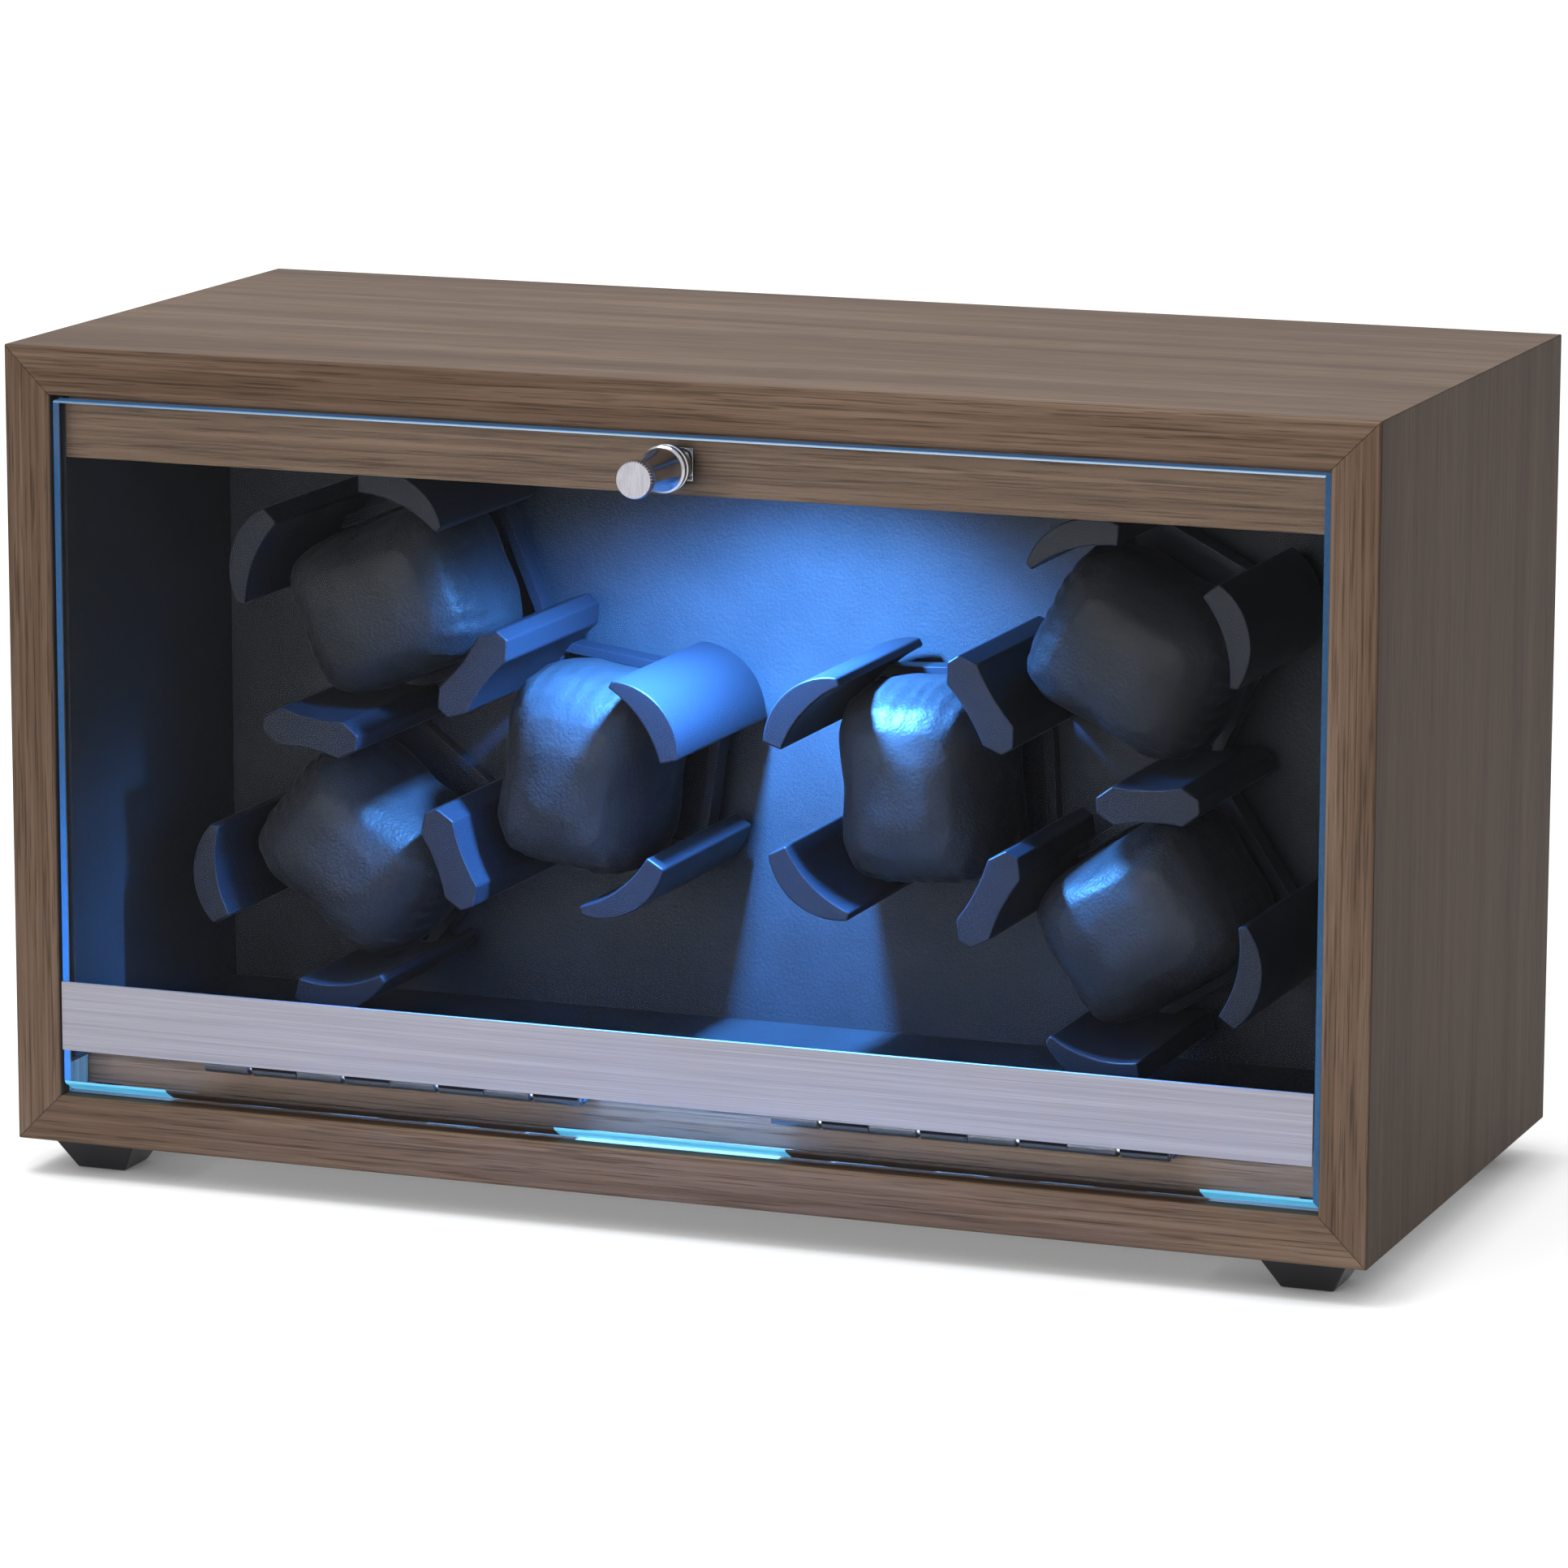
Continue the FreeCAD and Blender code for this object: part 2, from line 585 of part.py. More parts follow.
# Pillow: a leather cushion between the prongs of its tray, crowned front and back, its sides drawn in
def pillow_radius(turn):
    """Distance from the tray's middle to the pillow's outline, kept clear of the petals and the fins."""
    across = abs(math.cos(turn))
    upward = abs(math.sin(turn))
    half_across = HOLDER_SIDE / 2 - PILLOW_SIDE_GAP
    half_upward = HOLDER_SIDE / 2 + PILLOW_BULGE
    squareness = ((across / half_across) ** PILLOW_OUTLINE_POWER
                  + (upward / half_upward) ** PILLOW_OUTLINE_POWER)
    radius = squareness ** (-1 / PILLOW_OUTLINE_POWER) - PILLOW_WAIST * math.cos(2 * turn) ** 2
    radius = min(radius, petal_inner - PILLOW_PRONG_GAP)
    fin_slope = math.radians(60)
    towards_fin = upward * math.cos(fin_slope) - math.cos(turn) * math.sin(fin_slope)
    fin_room = holder_offset * math.sin(fin_slope) - FIN_THICKNESS / 2 - PILLOW_PRONG_GAP
    if towards_fin > 0:
        radius = min(radius, fin_room / towards_fin)
    return radius


def pillow():
    """Rings of one outline from the front to the back, each as large as the crown's curve lets it be."""
    front_y_of_pillow = prong_y + PILLOW_SET_BACK
    back_y_of_pillow = tray_floor_y - PILLOW_SEAT_GAP
    middle_y = (front_y_of_pillow + back_y_of_pillow) / 2
    half_depth = (back_y_of_pillow - front_y_of_pillow) / 2
    crown_angle = math.radians(PILLOW_CROWN_ANGLE)
    crown_power = 2 / PILLOW_CROWN_POWER
    deepest = math.sin(crown_angle) ** crown_power
    sections = []
    for ring in range(PILLOW_RINGS + 1):
        slope = crown_angle * (2 * ring / PILLOW_RINGS - 1)
        share = math.cos(slope) ** crown_power
        depth = math.copysign(abs(math.sin(slope)) ** crown_power, slope) / deepest
        corners = []
        for index in range(PILLOW_CORNERS):
            turn = 2 * math.pi * index / PILLOW_CORNERS
            radius = pillow_radius(turn) * share
            corners.append(vec(holder_offset + radius * math.cos(turn), middle_y + half_depth * depth,
                               radius * math.sin(turn)))
        sections.append(corners)
    return flat_loft(sections)


# Gears: the flanks are chords of the involute, so the teeth roll with a little play
def gear(teeth, flank_chords):
    """A spur gear about the Y axis, in its place along that axis, with one tooth centred on +Z."""
    pitch_radius = GEAR_MODULE * teeth / 2
    pressure = math.radians(GEAR_PRESSURE_ANGLE)
    base_radius = pitch_radius * math.cos(pressure)
    tip_radius = pitch_radius + GEAR_MODULE
    root_radius = pitch_radius - GEAR_MODULE - GEAR_ROOT_CLEARANCE
    half_tooth = (math.pi * GEAR_MODULE / 2 - GEAR_BACKLASH) / (2 * pitch_radius)

    def flank_angle(radius):
        local = math.acos(min(1.0, base_radius / radius))
        return half_tooth + (math.tan(pressure) - pressure) - (math.tan(local) - local)

    flank = []
    for index in range(flank_chords + 1):
        radius = root_radius + (tip_radius - root_radius) * index / flank_chords
        flank.append((radius, flank_angle(radius)))

    points = []
    for tooth in range(teeth):
        centre = 2 * math.pi * tooth / teeth
        turns = [(radius, centre - turn) for radius, turn in flank]
        turns += [(radius, centre + turn) for radius, turn in reversed(flank)]
        points += [(radius * math.sin(turn), radius * math.cos(turn)) for radius, turn in turns]
    return prism(points, gear_y, gear_y + GEAR_WIDTH)


# Each turntable with its pillows, shaft, gears, motor and bent sheet bracket
bracket_screws = []
rotor = turntable()
cushion = pillow()
for side, sign, angle in sides:
    axis_x = sign * turn_x
    keep(side + "_turntable", onto_axis(rotor, sign, angle))
    for number in (1, 2, 3):
        keep(side + "_pillow_" + str(number), onto_axis(cushion, sign, angle + 120 * (number - 1)))

    keep(side + "_shaft", rod((axis_x, shaft_y, turn_z), y_axis, shaft_length, SHAFT_DIAMETER))
    drive = gear(DRIVE_TEETH, DRIVE_FLANK_CHORDS)
    drive = drive.cut(rod((0, gear_y, 0), y_axis, GEAR_WIDTH, shaft_bore))
    drive.rotate(vec(0, 0, 0), y_axis, 180)
    drive.translate(vec(axis_x, 0, turn_z))
    keep(side + "_drive_gear", drive)

    pinion = gear(PINION_TEETH, PINION_FLANK_CHORDS)
    pinion.rotate(vec(0, 0, 0), y_axis, 180 / PINION_TEETH)
    stub_y = gear_y + GEAR_WIDTH
    stub_length = motor_y + PINION_SHAFT_DEPTH - stub_y
    pinion = pinion.fuse(rod((0, stub_y, 0), y_axis, stub_length, PINION_SHAFT_DIAMETER))
    pinion.translate(vec(axis_x, 0, motor_z))
    keep(side + "_pinion", pinion)

    half_gearbox = GEARBOX_SIDE / 2
    gearbox_back_y = motor_y + GEARBOX_LENGTH
    gearbox = block((axis_x - half_gearbox, motor_y, motor_z - half_gearbox),
                    (axis_x + half_gearbox, gearbox_back_y, motor_z + half_gearbox))
    can_length = MOTOR_LENGTH - GEARBOX_LENGTH
    motor = gearbox.fuse(rod((axis_x, gearbox_back_y, motor_z), y_axis, can_length, MOTOR_DIAMETER))
    socket_diameter = PINION_SHAFT_DIAMETER + 2 * RUNNING_CLEARANCE
    socket_depth = PINION_SHAFT_DEPTH + SHAFT_END
    socket = flat_sided_bore((axis_x, motor_y, motor_z), y_axis, socket_depth, socket_diameter, BORE_SIDES)
    keep(side + "_motor", motor.cut(socket))

    half_plate = BRACKET_WIDTH / 2
    low_z = motor_z - BRACKET_HEIGHT / 2
    high_z = motor_z + BRACKET_HEIGHT / 2
    sheet = [block((axis_x - half_plate, plate_y, low_z), (axis_x + half_plate, motor_y, high_z))]
    for outward in (-1, 1):
        leg_x = sorted((axis_x + outward * half_plate, axis_x + outward * (half_plate - BRACKET_THICKNESS)))
        flange_x = sorted((axis_x + outward * half_plate, axis_x + outward * (half_plate + BRACKET_FLANGE)))
        sheet.append(block((leg_x[0], board_back_y, low_z), (leg_x[1], plate_y, high_z)))
        sheet.append(block((flange_x[0], board_back_y, low_z),
                           (flange_x[1], board_back_y + BRACKET_THICKNESS, high_z)))
    bracket = fuse_all(sheet)
    shaft_hole = flat_sided_bore((axis_x, plate_y, motor_z), y_axis, BRACKET_THICKNESS,
                                 BRACKET_HOLE_DIAMETER, BORE_SIDES)
    bracket = bracket.cut(shaft_hole)
    for screw_x in (axis_x - bracket_screw_x, axis_x + bracket_screw_x):
        flange_hole = shank((screw_x, board_back_y, motor_z), y_axis, BRACKET_THICKNESS, screw_hole)
        bracket = bracket.cut(flange_hole)
        seat = (screw_x, board_back_y + BRACKET_THICKNESS, motor_z)
        bracket_screws.append(wood_screw(seat, -y_axis, BRACKET_THICKNESS + BRACKET_SCREW_DEPTH))
    keep(side + "_motor_bracket", bracket)
keep_group("bracket_screws", bracket_screws)

# Back panel on four corner cleats, with the holes of the controls
knob_row_z = turn_z + MODE_KNOB_RISE
rocker_z = turn_z - ROCKER_DROP
jack_z = turn_z - JACK_DROP
knob_places = (("left", -MODE_KNOB_SPACING / 2), ("right", MODE_KNOB_SPACING / 2))
spindle_hole = MODE_SPINDLE_DIAMETER + 2 * RUNNING_CLEARANCE
well_half_length = ROCKER_LENGTH / 2 + ROCKER_CLEARANCE
well_half_width = ROCKER_WIDTH / 2 + ROCKER_CLEARANCE
frame_half_length = well_half_length + ROCKER_WALL
frame_half_width = well_half_width + ROCKER_WALL
cleat_screw_x = half_inner - CLEAT_SIDE / 2
cleat_places = []
for cleat_x in (-cleat_screw_x, cleat_screw_x):
    for cleat_z in (sill_z + CLEAT_LENGTH / 2, ceiling_z - CLEAT_LENGTH / 2):
        cleat_places.append((cleat_x, cleat_z))

half_back = half_inner - BACK_PANEL_FIT
back_panel = block((-half_back, panel_y, sill_z + BACK_PANEL_FIT),
                   (half_back, panel_back_y, ceiling_z - BACK_PANEL_FIT))
frame_hole_x = frame_half_width + SEAT_CLEARANCE
frame_hole_z = frame_half_length + SEAT_CLEARANCE
jack_hole = JACK_DIAMETER + 2 * SEAT_CLEARANCE
cuts = [
    block((-frame_hole_x, panel_y, rocker_z - frame_hole_z),
          (frame_hole_x, panel_back_y, rocker_z + frame_hole_z)),
    rod((0, panel_y, jack_z), y_axis, BACK_PANEL_THICKNESS, jack_hole),
]
for side, knob_x in knob_places:
    place = (knob_x, panel_y, knob_row_z)
    cuts.append(flat_sided_bore(place, y_axis, BACK_PANEL_THICKNESS, spindle_hole, BORE_SIDES))
for cleat_x, cleat_z in cleat_places:
    cuts.append(shank((cleat_x, panel_y, cleat_z), y_axis, BACK_PANEL_THICKNESS, screw_hole))
keep("back_panel", back_panel.cut(cuts))

cleats = []
back_screws = []
for cleat_x, cleat_z in cleat_places:
    cleat = block((cleat_x - CLEAT_SIDE / 2, panel_y - CLEAT_SIDE, cleat_z - CLEAT_LENGTH / 2),
                  (cleat_x + CLEAT_SIDE / 2, panel_y, cleat_z + CLEAT_LENGTH / 2))
    pilot_depth = BACK_SCREW_DEPTH - BACK_PANEL_THICKNESS + SCREW_END_GAP
    cleats.append(cleat.cut(shank((cleat_x, panel_y, cleat_z), -y_axis, pilot_depth, screw_hole)))
    back_screws.append(wood_screw((cleat_x, panel_back_y, cleat_z), -y_axis, BACK_SCREW_DEPTH))
keep_group("back_panel_cleats", cleats)
keep_group("back_panel_screws", back_screws)

# Control board behind the switches, the two rotary switch bodies and their ribbed knobs
board_face_y = panel_y - SWITCH_DEPTH
board_half = max(MODE_KNOB_SPACING / 2 + MODE_SWITCH_SIDE / 2, frame_half_width) + CONTROL_BOARD_MARGIN
board_low_z = jack_z - JACK_DIAMETER / 2 - CONTROL_BOARD_MARGIN
board_high_z = knob_row_z + MODE_SWITCH_SIDE / 2 + CONTROL_BOARD_MARGIN
keep("control_board", block((-board_half, board_face_y - CONTROL_BOARD_THICKNESS, board_low_z),
                            (board_half, board_face_y, board_high_z)))

half_switch = MODE_SWITCH_SIDE / 2
knob_y = panel_back_y + MODE_KNOB_GAP
knob_back_y = knob_y + MODE_KNOB_HEIGHT
spindle_y = board_face_y + MODE_SPINDLE_END_GAP
half_pointer = MODE_POINTER_WIDTH / 2
switch_bodies = []
for side, knob_x in knob_places:
    body = block((knob_x - half_switch, board_face_y, knob_row_z - half_switch),
                 (knob_x + half_switch, panel_y, knob_row_z + half_switch))
    place = (knob_x, board_face_y, knob_row_z)
    switch_bodies.append(body.cut(flat_sided_bore(place, y_axis, SWITCH_DEPTH, spindle_hole, BORE_SIDES)))
    grip = ribbed_bar((knob_x, knob_y, knob_row_z), y_axis, MODE_KNOB_HEIGHT,
                      MODE_KNOB_DIAMETER, MODE_KNOB_RIBS, MODE_KNOB_RIB_DEPTH)
    spindle = rod((knob_x, spindle_y, knob_row_z), y_axis, knob_y - spindle_y, MODE_SPINDLE_DIAMETER)
    pointer = block((knob_x - half_pointer, knob_back_y - MODE_POINTER_DEPTH, knob_row_z),
                    (knob_x + half_pointer, knob_back_y, knob_row_z + MODE_KNOB_DIAMETER / 2))
    keep(side + "_mode_knob", grip.fuse(spindle).cut(pointer))
keep_group("mode_switches", switch_bodies)

# Lamp rocker: a frame let into the back panel, and a two-sided button that rocks on a pin in its walls
frame_body = block((-frame_half_width, board_face_y, rocker_z - frame_half_length),
                   (frame_half_width, panel_back_y, rocker_z + frame_half_length))
bezel_half_width = frame_half_width + ROCKER_BEZEL
bezel_half_length = frame_half_length + ROCKER_BEZEL
bezel_y = panel_back_y + ROCKER_BEZEL_THICKNESS
bezel = block((-bezel_half_width, panel_back_y, rocker_z - bezel_half_length),
              (bezel_half_width, bezel_y, rocker_z + bezel_half_length))
well = block((-well_half_width, board_face_y + ROCKER_WALL, rocker_z - well_half_length),
             (well_half_width, bezel_y, rocker_z + well_half_length))
half_pivot = well_half_width + ROCKER_WALL / 2
half_pivot_hole = half_pivot + RUNNING_CLEARANCE
pivot_hole = rod((-half_pivot_hole, panel_back_y, rocker_z), x_axis, 2 * half_pivot_hole,
                 ROCKER_PIVOT_DIAMETER + 2 * RUNNING_CLEARANCE)
keep("rocker_frame", fuse_all([frame_body, bezel]).cut(well).cut(pivot_hole))

rocker_face_y = bezel_y + ROCKER_PROUD
rocker_dish = ROCKER_LENGTH / 2 * math.tan(math.radians(ROCKER_TILT))
half_rocker = ROCKER_LENGTH / 2
rocker_side = [
    (panel_back_y - ROCKER_SKIRT, rocker_z - half_rocker),
    (rocker_face_y, rocker_z - half_rocker),
    (rocker_face_y - rocker_dish, rocker_z),
    (rocker_face_y, rocker_z + half_rocker),
    (panel_back_y - ROCKER_SKIRT, rocker_z + half_rocker),
]
rocker_corners = [vec(-ROCKER_WIDTH / 2, y, z) for y, z in rocker_side]
rocker = Part.Face(closed(rocker_corners)).extrude(x_axis * ROCKER_WIDTH)
pivot = rod((-half_pivot, panel_back_y, rocker_z), x_axis, 2 * half_pivot, ROCKER_PIVOT_DIAMETER)
rocker = rocker.fuse(pivot)
rocker.rotate(vec(0, panel_back_y, rocker_z), x_axis, ROCKER_TILT)
keep("lamp_rocker", rocker)

# Power jack: a barrel socket through the back panel, with its centre pin
jack_bore_y = panel_back_y - JACK_BORE_DEPTH
jack = rod((0, board_face_y, jack_z), y_axis, panel_back_y - board_face_y, JACK_DIAMETER)
jack = jack.cut(rod((0, jack_bore_y, jack_z), y_axis, JACK_BORE_DEPTH, JACK_BORE_DIAMETER))
keep("power_jack", jack.fuse(shank((0, jack_bore_y, jack_z), y_axis, JACK_BORE_DEPTH, JACK_PIN_DIAMETER)))

# Door: glass sheet with the knob's hole, metal strip across its front in line with the hinges
# The sheet reaches below the hinges, and its foot is bevelled so that it turns clear of the sill
foot_front_z = hinge_z - math.sqrt(glass_swing ** 2 - (hinge_y - front_y) ** 2)
foot_back_z = hinge_z - math.sqrt(glass_swing ** 2 - (hinge_y - glass_y) ** 2)
glass_side = [(front_y, foot_front_z), (glass_y, foot_back_z),
              (glass_y, glass_top_z), (front_y, glass_top_z)]
glass_corners = [vec(-half_door, y, z) for y, z in glass_side]
glass = Part.Face(closed(glass_corners)).extrude(x_axis * 2 * half_door)
glass_hole = KNOB_SCREW_DIAMETER + 2 * GLASS_HOLE_CLEARANCE
keep("door_glass", glass.cut(rod((0, front_y, knob_z), y_axis, GLASS_THICKNESS, glass_hole)))
keep("door_strip", block((-half_door, front_y - STRIP_THICKNESS, strip_z),
                         (half_door, front_y, strip_z + STRIP_HEIGHT)))

# Pull knob: collar against the glass, waisted neck and knurled face, held by a screw from behind
knob_face_y = front_y - KNOB_REACH + KNOB_FACE_THICKNESS
collar_y = front_y - KNOB_COLLAR_THICKNESS
collar = rod((0, collar_y, knob_z), y_axis, KNOB_COLLAR_THICKNESS, KNOB_COLLAR_DIAMETER)
neck = flat_loft([
    round_corners((0, collar_y, knob_z), -y_axis, [KNOB_FLARE_DIAMETER / 2] * KNOB_NECK_SIDES),
    round_corners((0, knob_face_y, knob_z), -y_axis, [KNOB_NECK_DIAMETER / 2] * KNOB_NECK_SIDES),
])
face = ribbed_bar((0, knob_face_y, knob_z), -y_axis, KNOB_FACE_THICKNESS,
                  KNOB_FACE_DIAMETER, KNOB_KNURLS, KNOB_KNURL_DEPTH)
thread = shank((0, front_y, knob_z), -y_axis, KNOB_THREAD_DEPTH, KNOB_SCREW_DIAMETER + 2 * SEAT_CLEARANCE)
keep("door_knob", collar.fuse([neck, face]).cut(thread))
knob_screw_depth = GLASS_THICKNESS + KNOB_THREAD_DEPTH - SCREW_END_GAP
keep("knob_screw", screw((0, glass_y, knob_z), -y_axis, knob_screw_depth, KNOB_SCREW_DIAMETER,
                         KNOB_SCREW_HEAD_DIAMETER, KNOB_SCREW_HEAD_HEIGHT))


# Piano hinges: interleaved knuckles on one pin, a leaf behind the glass and a leaf on the floor board
def knuckle_spans(low_x):
    """Start and length of every knuckle, with a wide gap after each frame knuckle."""
    pairs = HINGE_KNUCKLES // 2
    length = (HINGE_LENGTH - pairs * HINGE_WIDE_GAP - (pairs - 1) * HINGE_FINE_GAP) / HINGE_KNUCKLES
    spans = []
    start = low_x
    for index in range(HINGE_KNUCKLES):
        spans.append((start, length))
        start += length + (HINGE_WIDE_GAP if index % 2 == 0 else HINGE_FINE_GAP)
    return spans


leaf_start = barrel_radius + HINGE_LEAF_RELIEF
pin_bore = HINGE_PIN_DIAMETER + 2 * HINGE_PIN_CLEARANCE
door_leaf_y = glass_y + HINGE_LEAF_THICKNESS
door_leaf_top_z = strip_z + STRIP_HEIGHT - HINGE_STRIP_MARGIN
frame_leaf_z = floor_z + HINGE_LEAF_THICKNESS
pins = []
for side, sign, angle in sides:
    low_x = sign * HINGE_SPACING / 2 - HINGE_LENGTH / 2
    high_x = low_x + HINGE_LENGTH
    door_leaf = [block((low_x, glass_y, hinge_z + leaf_start), (high_x, door_leaf_y, door_leaf_top_z))]
    frame_leaf = [block((low_x, hinge_y + leaf_start, floor_z), (high_x, frame_leaf_y, frame_leaf_z))]
    for index, (start, length) in enumerate(knuckle_spans(low_x)):
        barrel = sided_bar((start, hinge_y, hinge_z), x_axis, length, [barrel_radius] * HINGE_BARREL_SIDES)
        if index % 2 == 0:
            tab = block((start, hinge_y, floor_z), (start + length, hinge_y + leaf_start, frame_leaf_z))
            frame_leaf += [barrel, tab]
        else:
            tab = block((start, glass_y, hinge_z), (start + length, door_leaf_y, hinge_z + leaf_start))
            door_leaf += [barrel, tab]
    bore = flat_sided_bore((low_x, hinge_y, hinge_z), x_axis, HINGE_LENGTH, pin_bore, HINGE_BORE_SIDES)
    keep(side + "_hinge_door_leaf", fuse_all(door_leaf).cut(bore))
    holes = [bore]
    for place_x in hinge_screw_places:
        place = (place_x, hinge_screw_y, floor_z)
        holes.append(shank(place, z_axis, HINGE_LEAF_THICKNESS, hinge_screw_hole))
    keep(side + "_hinge_frame_leaf", fuse_all(frame_leaf).cut(holes))
    pins.append(rod((low_x, hinge_y, hinge_z), x_axis, HINGE_LENGTH, HINGE_PIN_DIAMETER))
keep_group("hinge_pins", pins)

hinge_screws = []
for place_x in hinge_screw_places:
    hinge_screws.append(screw((place_x, hinge_screw_y, frame_leaf_z), -z_axis,
                              HINGE_LEAF_THICKNESS + HINGE_SCREW_DEPTH, HINGE_SCREW_DIAMETER,
                              HINGE_SCREW_HEAD_DIAMETER, HINGE_SCREW_HEAD_HEIGHT))
keep_group("hinge_screws", hinge_screws)

print("case %.1f wide, %.1f deep, %.1f high on feet" % (case_width, case_depth, top_z))
print("turntable axes at x +-%.2f, z %.2f, sweep radius %.2f" % (turn_x, turn_z, sweep_radius))
print("hinge axis y %.3f z %.3f, front y %.3f, back y %.3f" % (hinge_y, hinge_z, front_y, back_y))
print("pinion axis z %.3f, rocker axis y %.3f z %.3f" % (motor_z, panel_back_y, rocker_z))
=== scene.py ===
import json
import math

import bmesh
import bpy
from mathutils import Matrix, Vector, noise as random_field

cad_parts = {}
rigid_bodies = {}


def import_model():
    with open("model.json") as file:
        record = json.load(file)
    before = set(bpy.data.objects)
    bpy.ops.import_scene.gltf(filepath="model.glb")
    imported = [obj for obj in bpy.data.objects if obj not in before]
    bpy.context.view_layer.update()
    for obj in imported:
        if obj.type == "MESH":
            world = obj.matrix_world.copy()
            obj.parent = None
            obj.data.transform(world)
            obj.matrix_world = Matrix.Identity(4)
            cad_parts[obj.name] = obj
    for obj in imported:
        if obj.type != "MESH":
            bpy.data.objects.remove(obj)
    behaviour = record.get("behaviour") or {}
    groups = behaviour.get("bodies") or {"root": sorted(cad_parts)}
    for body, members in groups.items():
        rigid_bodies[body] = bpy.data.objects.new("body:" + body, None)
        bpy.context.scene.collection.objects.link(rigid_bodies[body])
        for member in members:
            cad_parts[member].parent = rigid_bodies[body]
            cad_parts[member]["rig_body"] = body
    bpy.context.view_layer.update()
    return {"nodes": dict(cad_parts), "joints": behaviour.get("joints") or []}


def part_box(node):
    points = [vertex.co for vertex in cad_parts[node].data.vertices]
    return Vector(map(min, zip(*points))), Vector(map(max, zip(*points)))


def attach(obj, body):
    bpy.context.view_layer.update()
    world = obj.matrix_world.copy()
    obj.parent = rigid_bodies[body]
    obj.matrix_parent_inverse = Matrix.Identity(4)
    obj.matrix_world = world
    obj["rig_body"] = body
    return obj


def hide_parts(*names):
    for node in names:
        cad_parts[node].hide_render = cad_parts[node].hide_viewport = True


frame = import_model()

# Case panels: four MDF boards wrapped in walnut-grain laminate and mitred at the corners.
# The grain runs along each board. Every edge is eased, so a fine line shows along the mitres.
MM = 0.001
PANEL_EASE = 0.25 * MM
SHARP_ANGLE = math.radians(28)
FLAT_ANGLE = math.radians(1)
WELD_DISTANCE = 0.002 * MM
WALNUT_DARK = (0.058, 0.036, 0.024, 1)
WALNUT_MIDDLE = (0.136, 0.089, 0.062, 1)
WALNUT_PALE = (0.222, 0.153, 0.108, 1)
WALNUT_SPECULAR = 0.025
FIBRE_SHARE = 0.45
PORE_SHADE = 0.60


def new_finish(name, colour, roughness, metallic=0.0, specular=0.5):
    """A material and its principled shader, with the values that are the same all over."""
    material = bpy.data.materials.new(name)
    material.use_nodes = True
    shader = material.node_tree.nodes["Principled BSDF"]
    shader.inputs["Base Color"].default_value = colour
    shader.inputs["Roughness"].default_value = roughness
    shader.inputs["Metallic"].default_value = metallic
    shader.inputs["Specular IOR Level"].default_value = specular
    return material, shader


def put(material, kind, inputs, **settings):
    """Add a shader node. An input is a value or the output that feeds it."""
    node = material.node_tree.nodes.new("ShaderNode" + kind)
    for key, value in settings.items():
        setattr(node, key, value)
    for socket, value in inputs.items():
        if isinstance(value, bpy.types.NodeSocket):
            material.node_tree.links.new(value, node.inputs[socket])
        else:
            node.inputs[socket].default_value = value
    return node


def feed(material, output, shader, socket):
    material.node_tree.links.new(output, shader.inputs[socket])


def stretched(material, per_metre):
    """The piece's own coordinates in features per metre: one number, or one for each axis."""
    scale = per_metre if isinstance(per_metre, tuple) else (per_metre,) * 3
    place = put(material, "TexCoord", {})
    spread = put(material, "Mapping", {"Vector": place.outputs["Object"], "Scale": scale})
    return spread.outputs["Vector"]


def cloud(material, per_metre, detail=4.0, rough=0.55, twist=0.0):
    """Noise with its own number of features per metre along each axis."""
    node = put(material, "TexNoise", {
        "Vector": stretched(material, per_metre), "Scale": 1.0,
        "Detail": detail, "Roughness": rough, "Distortion": twist,
    })
    return node.outputs[0]


def ramp(material, factor, stops):
    node = put(material, "ValToRGB", {"Fac": factor})
    bar = node.color_ramp
    while len(bar.elements) < len(stops):
        bar.elements.new(0.5)
    for element, (place, colour) in zip(bar.elements, stops):
        element.position = place
        element.color = colour
    return node.outputs["Color"]


def grey(level):
    return (level, level, level, 1)


def sums(material, operation, first, second):
    return put(material, "Math", {0: first, 1: second}, operation=operation).outputs[0]


def mixture(material, first, second, share):
    """The first noise with a share of the second mixed in."""
    kept = sums(material, "MULTIPLY", first, 1 - share)
    added = sums(material, "MULTIPLY", second, share)
    return sums(material, "ADD", kept, added)


def tinted(material, first, second):
    """Multiply two colours."""
    colours = {"Fac": 1.0, "Color1": first, "Color2": second}
    return put(material, "MixRGB", colours, blend_type="MULTIPLY").outputs["Color"]


def rough_between(material, shader, factor, low, high):
    spread = put(material, "MapRange", {"Value": factor, "To Min": low, "To Max": high})
    feed(material, spread.outputs[0], shader, "Roughness")


def raise_grain(material, shader, height, strength, depth):
    bump = put(material, "Bump", {"Height": height, "Strength": strength, "Distance": depth})
    feed(material, bump.outputs["Normal"], shader, "Normal")


